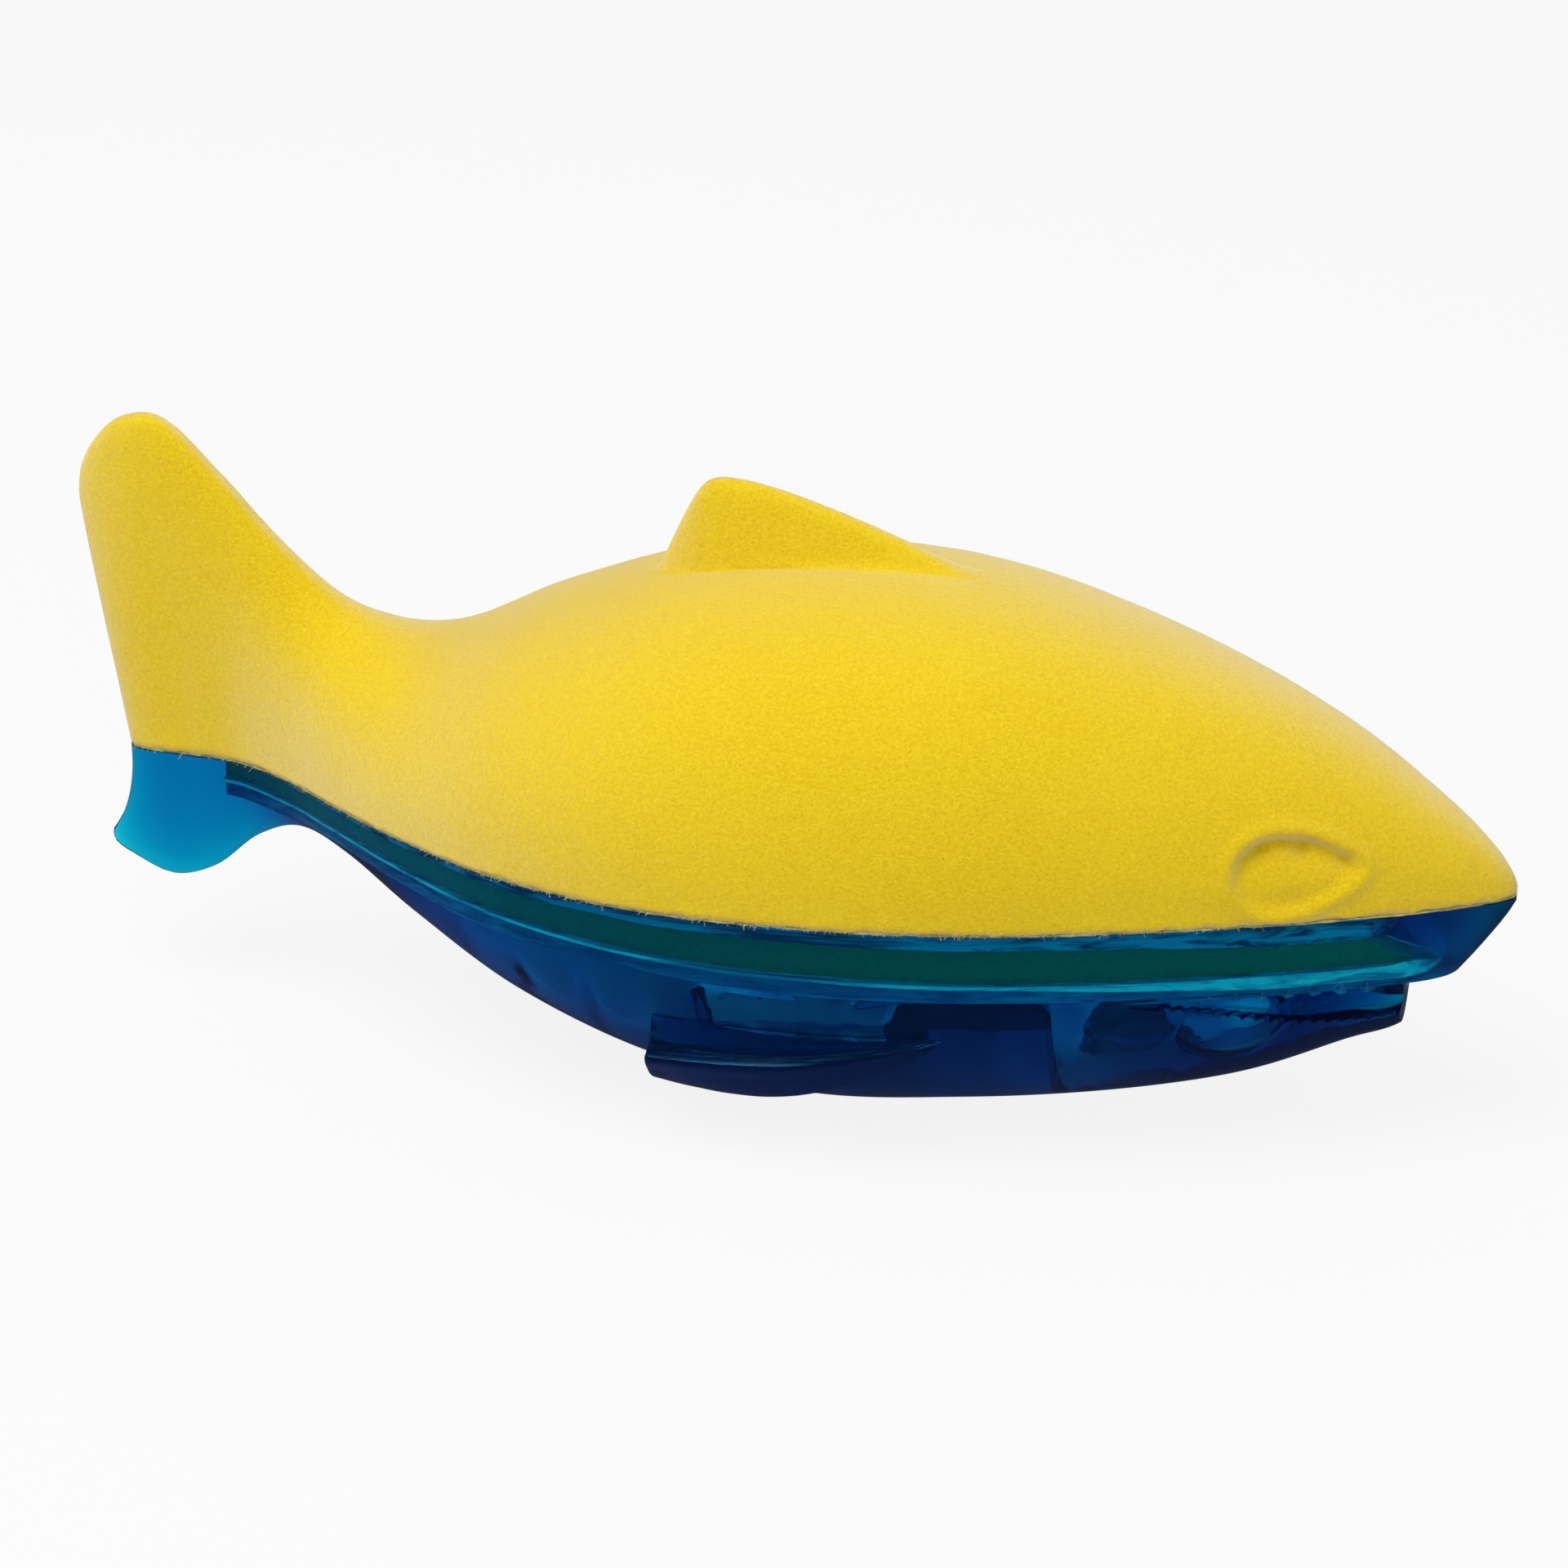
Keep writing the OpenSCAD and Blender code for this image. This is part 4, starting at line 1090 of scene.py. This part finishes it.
    def bell(self):
        """The bell of rubber that grips the squeaker."""
        high, foot, top, edge = self.BELL_HIGH, self.BELL_FOOT, self.BELL_TOP, self.BELL_ROUND
        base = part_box("squeaker_case")[0].z
        outline = [(0, -MM), (foot + MM, -MM)]
        for k in range(13):
            turn = pi / 2 * k / 12
            outline.append((foot - (foot - top) * sin(turn), 0.8 * high * (1 - cos(turn))))
        outline += [(top, high - edge), (top - 0.3 * edge, high - 0.3 * edge), (top - edge, high),
                    (0, high)]
        bm = bmesh.new()
        verts = [bm.verts.new((self.squeaker_x + r, 0, base + z)) for r, z in outline]
        edges = [bm.edges.new(pair) for pair in zip(verts, verts[1:])]
        bmesh.ops.spin(bm, geom=verts + edges, cent=(self.squeaker_x, 0, 0), axis=(0, 0, 1),
                       angle=2 * pi, steps=64, use_merge=True)
        return bm

    def mouth(self, side):
        """The groove of the mouth in one cheek, which grows into a slot at the front."""
        s, belly = self.s, self.hull.belly

        def place(i, j):
            u = i / (self.MOUTH_RINGS - 1)
            x = self.mouth_rear + u * s.mouth_l
            low = self.lip_d + s.mouth_h * curved(LOWER_LIP_SHARES, u)
            skin, slot = belly(x, self.lip_d), s.mouth_d * between(SLOT_SHARES, u)
            deep = max(skin - slot, -MM)
            low_deep = min(deep, max(belly(x, low) - slot, -MM))
            out = skin + s.tooth_h + MM
            w = (out, deep, low_deep, out)[j]
            return Vector((x, -side * w, SEAM_Z - (self.lip_d if j < 2 else low)))

        return loft(self.MOUTH_RINGS, 4, place)

    def upper_teeth(self, side):
        """Pointed ridges that stand on the upper lip."""
        s, bm = self.s, bmesh.new()
        for i in range(self.UPPER_TEETH):
            u = i / (self.UPPER_TEETH - 1)
            size = 1.2 * s.tooth_h * (0.55 + 0.45 * u)
            x = self.mouth_rear + s.mouth_l * (0.3 + 0.58 * u)
            y = -side * self.hull.belly(x, self.lip_d)
            made = bmesh.ops.create_cone(bm, segments=4, radius1=0.85 * size, radius2=0.12 * size,
                                         depth=size + 0.1 * MM, cap_ends=True)
            bmesh.ops.translate(bm, verts=made["verts"],
                                vec=(x, y, SEAM_Z - self.lip_d + size / 2 - 0.05 * MM))
        bmesh.ops.bevel(bm, geom=bm.edges, offset=0.08 * MM, segments=2, profile=0.5,
                        affect="EDGES", material=-1, clamp_overlap=True)
        return bm

    def lower_teeth(self, side):
        """Slanting beads along the lower lip, like the lay of a rope."""
        s, bm = self.s, bmesh.new()
        turned = Matrix.Rotation(radians(38), 4, "Y") @ Matrix.Diagonal((0.5, 0.6, 0.85, 1))
        sunk = 0.35 * s.bead_d
        for i in range(self.LOWER_TEETH):
            u = 0.12 + 0.83 * i / (self.LOWER_TEETH - 1)
            x = self.mouth_rear + u * s.mouth_l
            low = self.lip_d + s.mouth_h * curved(LOWER_LIP_SHARES, u)
            y = -side * (self.hull.belly(x, low) - sunk)
            made = bmesh.ops.create_uvsphere(bm, u_segments=14, v_segments=9, radius=s.bead_d)
            spot = Matrix.Translation((x, y, SEAM_Z - low - sunk))
            bmesh.ops.transform(bm, matrix=spot @ turned, verts=made["verts"])
        return bm

    def jaw(self):
        """What is cut away under the snout, ahead of the lower jaw."""
        s, bm = self.s, bmesh.new()
        high = SEAM_Z - self.lip_d
        bmesh.ops.create_cube(bm, size=1)
        shape = Matrix.Diagonal((s.length / 2, s.beam, high + MM, 1))
        spot = Matrix.Translation((self.mouth_front + s.length / 4, 0, (high - MM) / 2))
        bmesh.ops.transform(bm, matrix=spot @ shape, verts=bm.verts)
        return bm

    def cylinder(self, radius, top):
        """A round cut from under the toy up to a height, where the squeaker sits."""
        bm, high = bmesh.new(), top + MM
        bmesh.ops.create_cone(bm, segments=64, radius1=radius, radius2=radius, depth=high,
                              cap_ends=True)
        bmesh.ops.translate(bm, verts=bm.verts, vec=(self.squeaker_x, 0, high / 2 - MM))
        return bm

    def pectoral_fin(self, side):
        """A leaf on the flank, pointed in front and blunt behind."""
        s, belly, across = self.s, self.hull.belly, self.FIN_ACROSS
        front, top = self.FIN_SHARE * s.length / 2, self.FIN_TOP_SHARE * s.belly_d

        def place(i, j):
            u = 1 - i / (self.FIN_RINGS - 1)
            x = front - u * s.pectoral_l
            out = s.pectoral_out * (self.FIN_FLAT + (1 - self.FIN_FLAT) * u ** 0.7)
            # The last two points close the leaf inside the flank
            p = j / across if j <= across else across + 2 - j
            z = top + p * s.pectoral_h * curved(LEAF_SHARES, u)
            if j <= across:
                wave = 0.18 * MM * noise.noise(Vector((x * 230, z * 90, 4))) * min(4 * u, 1)
                y = belly(x, z) + curved(ACROSS_SHARES, p) * out + wave
            else:
                y = belly(x, z) - s.pectoral_out / 2
            rake = self.FIN_RAKE * u * s.pectoral_l
            return Vector((x - rake * (p - 0.5), -side * y, SEAM_Z - z))

        return loft(self.FIN_RINGS, across + 3, place)


class FISH_OT_squeaker(bpy.types.Operator):
    """Finish the squeaker's case, cap, reed bed, collar and reed"""
    bl_idname = "fish.squeaker"
    bl_label = "Squeaker"

    def execute(self, context):
        colours = context.scene.fish_colours
        plastic = plastic_finish("natural_plastic", colours.plastic, 0.6)
        brass = brass_finish("rolled_brass", colours.brass)
        for name in ("squeaker_case", "squeaker_cap", "reed_bed", "reed_collar", "reed"):
            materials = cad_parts[name].data.materials
            materials.clear()
            materials.append(brass if name == "reed" else plastic)
        return {"FINISHED"}


class FISH_OT_stage(bpy.types.Operator):
    """Add the camera, the floor and the lights"""
    bl_idname = "fish.stage"
    bl_label = "Stage"
    # Half the floor's size, its room under the toy, and how white it looks
    FLOOR_SIZE, FLOOR_GAP, WHITE = 3, 0.02 * MM, 0.87
    # Round spots on the floor: scale and move of the gradient, and where it starts and is full.
    # The first is a painted shade under the belly, the second a painted lighter patch within it.
    SHADE = ((11.1, 12.5, 0), (-0.39, -0.34, 0), 0.05, 0.38)
    LIT = ((33, 26, 0), (-1.3, -0.7, 0), 0, 0.5)

    def execute(self, context):
        scene, t = context.scene, context.scene.fish_stage
        aim = Vector((t.aim_x, 0, t.aim_z))
        back = Vector((sin(t.azimuth) * cos(t.elevation),
                       -cos(t.azimuth) * cos(t.elevation), sin(t.elevation)))
        camera = bpy.data.objects.new("camera", bpy.data.cameras.new("camera"))
        camera.data.lens, camera.data.sensor_width = t.lens, 36
        camera.data.clip_start, camera.data.clip_end = 0.01, 20
        camera.location = aim + back * t.distance
        camera.rotation_euler = (-back).to_track_quat("-Z", "Y").to_euler()
        scene.collection.objects.link(camera)
        scene.camera = camera
        scene.view_settings.view_transform = "Standard"
        self.floor(scene, t)
        self.lamp(scene, "key_lamp", (-0.25, -0.35, 0.9), 0.7, t.key, aim)
        self.lamp(scene, "fill_lamp", (0.75, -0.45, 0.35), 0.5, t.fill, aim)
        self.sky(scene, t)
        return {"FINISHED"}

    def seen_directly(self, nodes, t):
        """The share of plain white that each kind of ray sees: 1 for a camera ray."""
        rays = nodes.rays()
        total = rays["Is Camera Ray"]
        for kind, share in (("Is Glossy Ray", t.mirrored), ("Is Transmission Ray", t.seen_through)):
            total = nodes.maths("MULTIPLY_ADD", rays[kind], share, total, clamp=True)
        return total

    def floor(self, scene, t):
        """A wide pale floor that looks white and keeps the toy's shadow. Through the rubber it
        shows a painted shadow round the belly, and reflections show it painted darker.
        """
        bm = bmesh.new()
        bmesh.ops.create_grid(bm, x_segments=1, y_segments=1, size=self.FLOOR_SIZE)
        mesh = bpy.data.meshes.new("floor")
        bm.to_mesh(mesh)
        bm.free()
        floor = bpy.data.objects.new("floor", mesh)
        floor.location.z = -self.FLOOR_GAP
        scene.collection.objects.link(floor)
        f = Finish("pale_floor")
        rays = f.rays()
        glossy, through = rays["Is Glossy Ray"], rays["Is Transmission Ray"]
        # Reflections see the floor painted darker than it is, a painted dark reflection
        mirror = f.maths("SUBTRACT", glossy, through, clamp=True)
        # Rays through the rubber see the floor painted darker round the belly, a painted shadow
        under = f.maths("MULTIPLY", through, self.painted_shadow_under_toy(f))
        colour = f.mix(mirror, t.floor, darker(t.floor, t.floor_painted_dark_in_reflections))
        f.set(Base_Color=f.mix(under, colour, darker(t.floor, t.painted_shadow_under_belly)), Roughness=0.9,
              Specular_IOR_Level=0.1)
        white = f.ramp(under, 0, 1, self.WHITE, self.WHITE * t.painted_shadow_under_belly)
        share = f.maths("MULTIPLY", self.seen_directly(f, t), white)
        glow = f.node("ShaderNodeEmission", {"Color": (1, 1, 1)})
        seen = f.blend(share, f.shader.outputs["BSDF"], glow.outputs["Emission"])
        f.feed(f.output.inputs["Surface"], seen)
        mesh.materials.append(f.material)

    def painted_shadow_under_toy(self, f):
        """The painted shadow: 1 on the floor round the belly, where no light reaches it, less a
        painted lighter patch, and 0 further out.
        """
        dark, lit = (f.ramp(f.node("ShaderNodeTexGradient", {"Vector": f.mapped(scale, move)},
                                   gradient_type="SPHERICAL").outputs["Fac"], low, high)
                     for scale, move, low, high in (self.SHADE, self.LIT))
        return f.maths("SUBTRACT", dark, lit, clamp=True)

    def lamp(self, scene, name, place, size, power, aim):
        """A round lamp that shines on the toy."""
        data = bpy.data.lights.new(name, "AREA")
        data.shape, data.size, data.energy = "DISK", size, power
        lamp = bpy.data.objects.new(name, data)
        lamp.location = place
        lamp.rotation_euler = (aim - Vector(place)).to_track_quat("-Z", "Y").to_euler()
        scene.collection.objects.link(lamp)

    def sky(self, scene, t):
        """Even light from all round, and white where it is seen."""
        world = bpy.data.worlds.new("sky")
        world.use_nodes = True
        scene.world = world
        w = Nodes(world.node_tree)
        light, white = w.tree.nodes["Background"], w.node("ShaderNodeBackground", {})
        for made, strength in ((light, t.sky), (white, 1)):
            w.feed(made.inputs["Color"], (1, 1, 1))
            w.feed(made.inputs["Strength"], strength)
        seen = w.blend(self.seen_directly(w, t), light.outputs[0], white.outputs[0])
        w.feed(w.tree.nodes["World Output"].inputs["Surface"], seen)


OPERATORS = (FISH_OT_stage, FISH_OT_foam_back, FISH_OT_foam_tongue, FISH_OT_fibres,
             FISH_OT_glue_seam, FISH_OT_rubber_belly, FISH_OT_squeaker)


class FISH_PT_panel(bpy.types.Panel):
    """Lists the toy's pieces, sizes and colours"""
    bl_idname = "FISH_PT_panel"
    bl_label = "Fish Toy"
    bl_space_type = "VIEW_3D"
    bl_region_type = "UI"
    bl_category = "Fish Toy"

    def draw(self, context):
        layout = self.layout
        for operator in OPERATORS:
            layout.operator(operator.bl_idname)
        for group in (context.scene.fish_sizes, context.scene.fish_colours,
                      context.scene.fish_stage):
            box = layout.box()
            for key in group.__annotations__:
                box.prop(group, key)


GROUPS = {"fish_sizes": FishSizes, "fish_colours": FishColours, "fish_stage": FishStage}


def register():
    for group in GROUPS.values():
        bpy.utils.register_class(group)
    for name, group in GROUPS.items():
        setattr(bpy.types.Scene, name, PointerProperty(type=group))
    for operator in OPERATORS:
        bpy.utils.register_class(operator)
    bpy.utils.register_class(FISH_PT_panel)


def unregister():
    bpy.utils.unregister_class(FISH_PT_panel)
    for operator in reversed(OPERATORS):
        bpy.utils.unregister_class(operator)
    for name in GROUPS:
        delattr(bpy.types.Scene, name)
    for group in GROUPS.values():
        bpy.utils.unregister_class(group)


def main():
    """Builds the whole toy."""
    register()
    for operator in OPERATORS:
        group, name = operator.bl_idname.split(".")
        getattr(getattr(bpy.ops, group), name)()


if __name__ == "__main__":
    main()
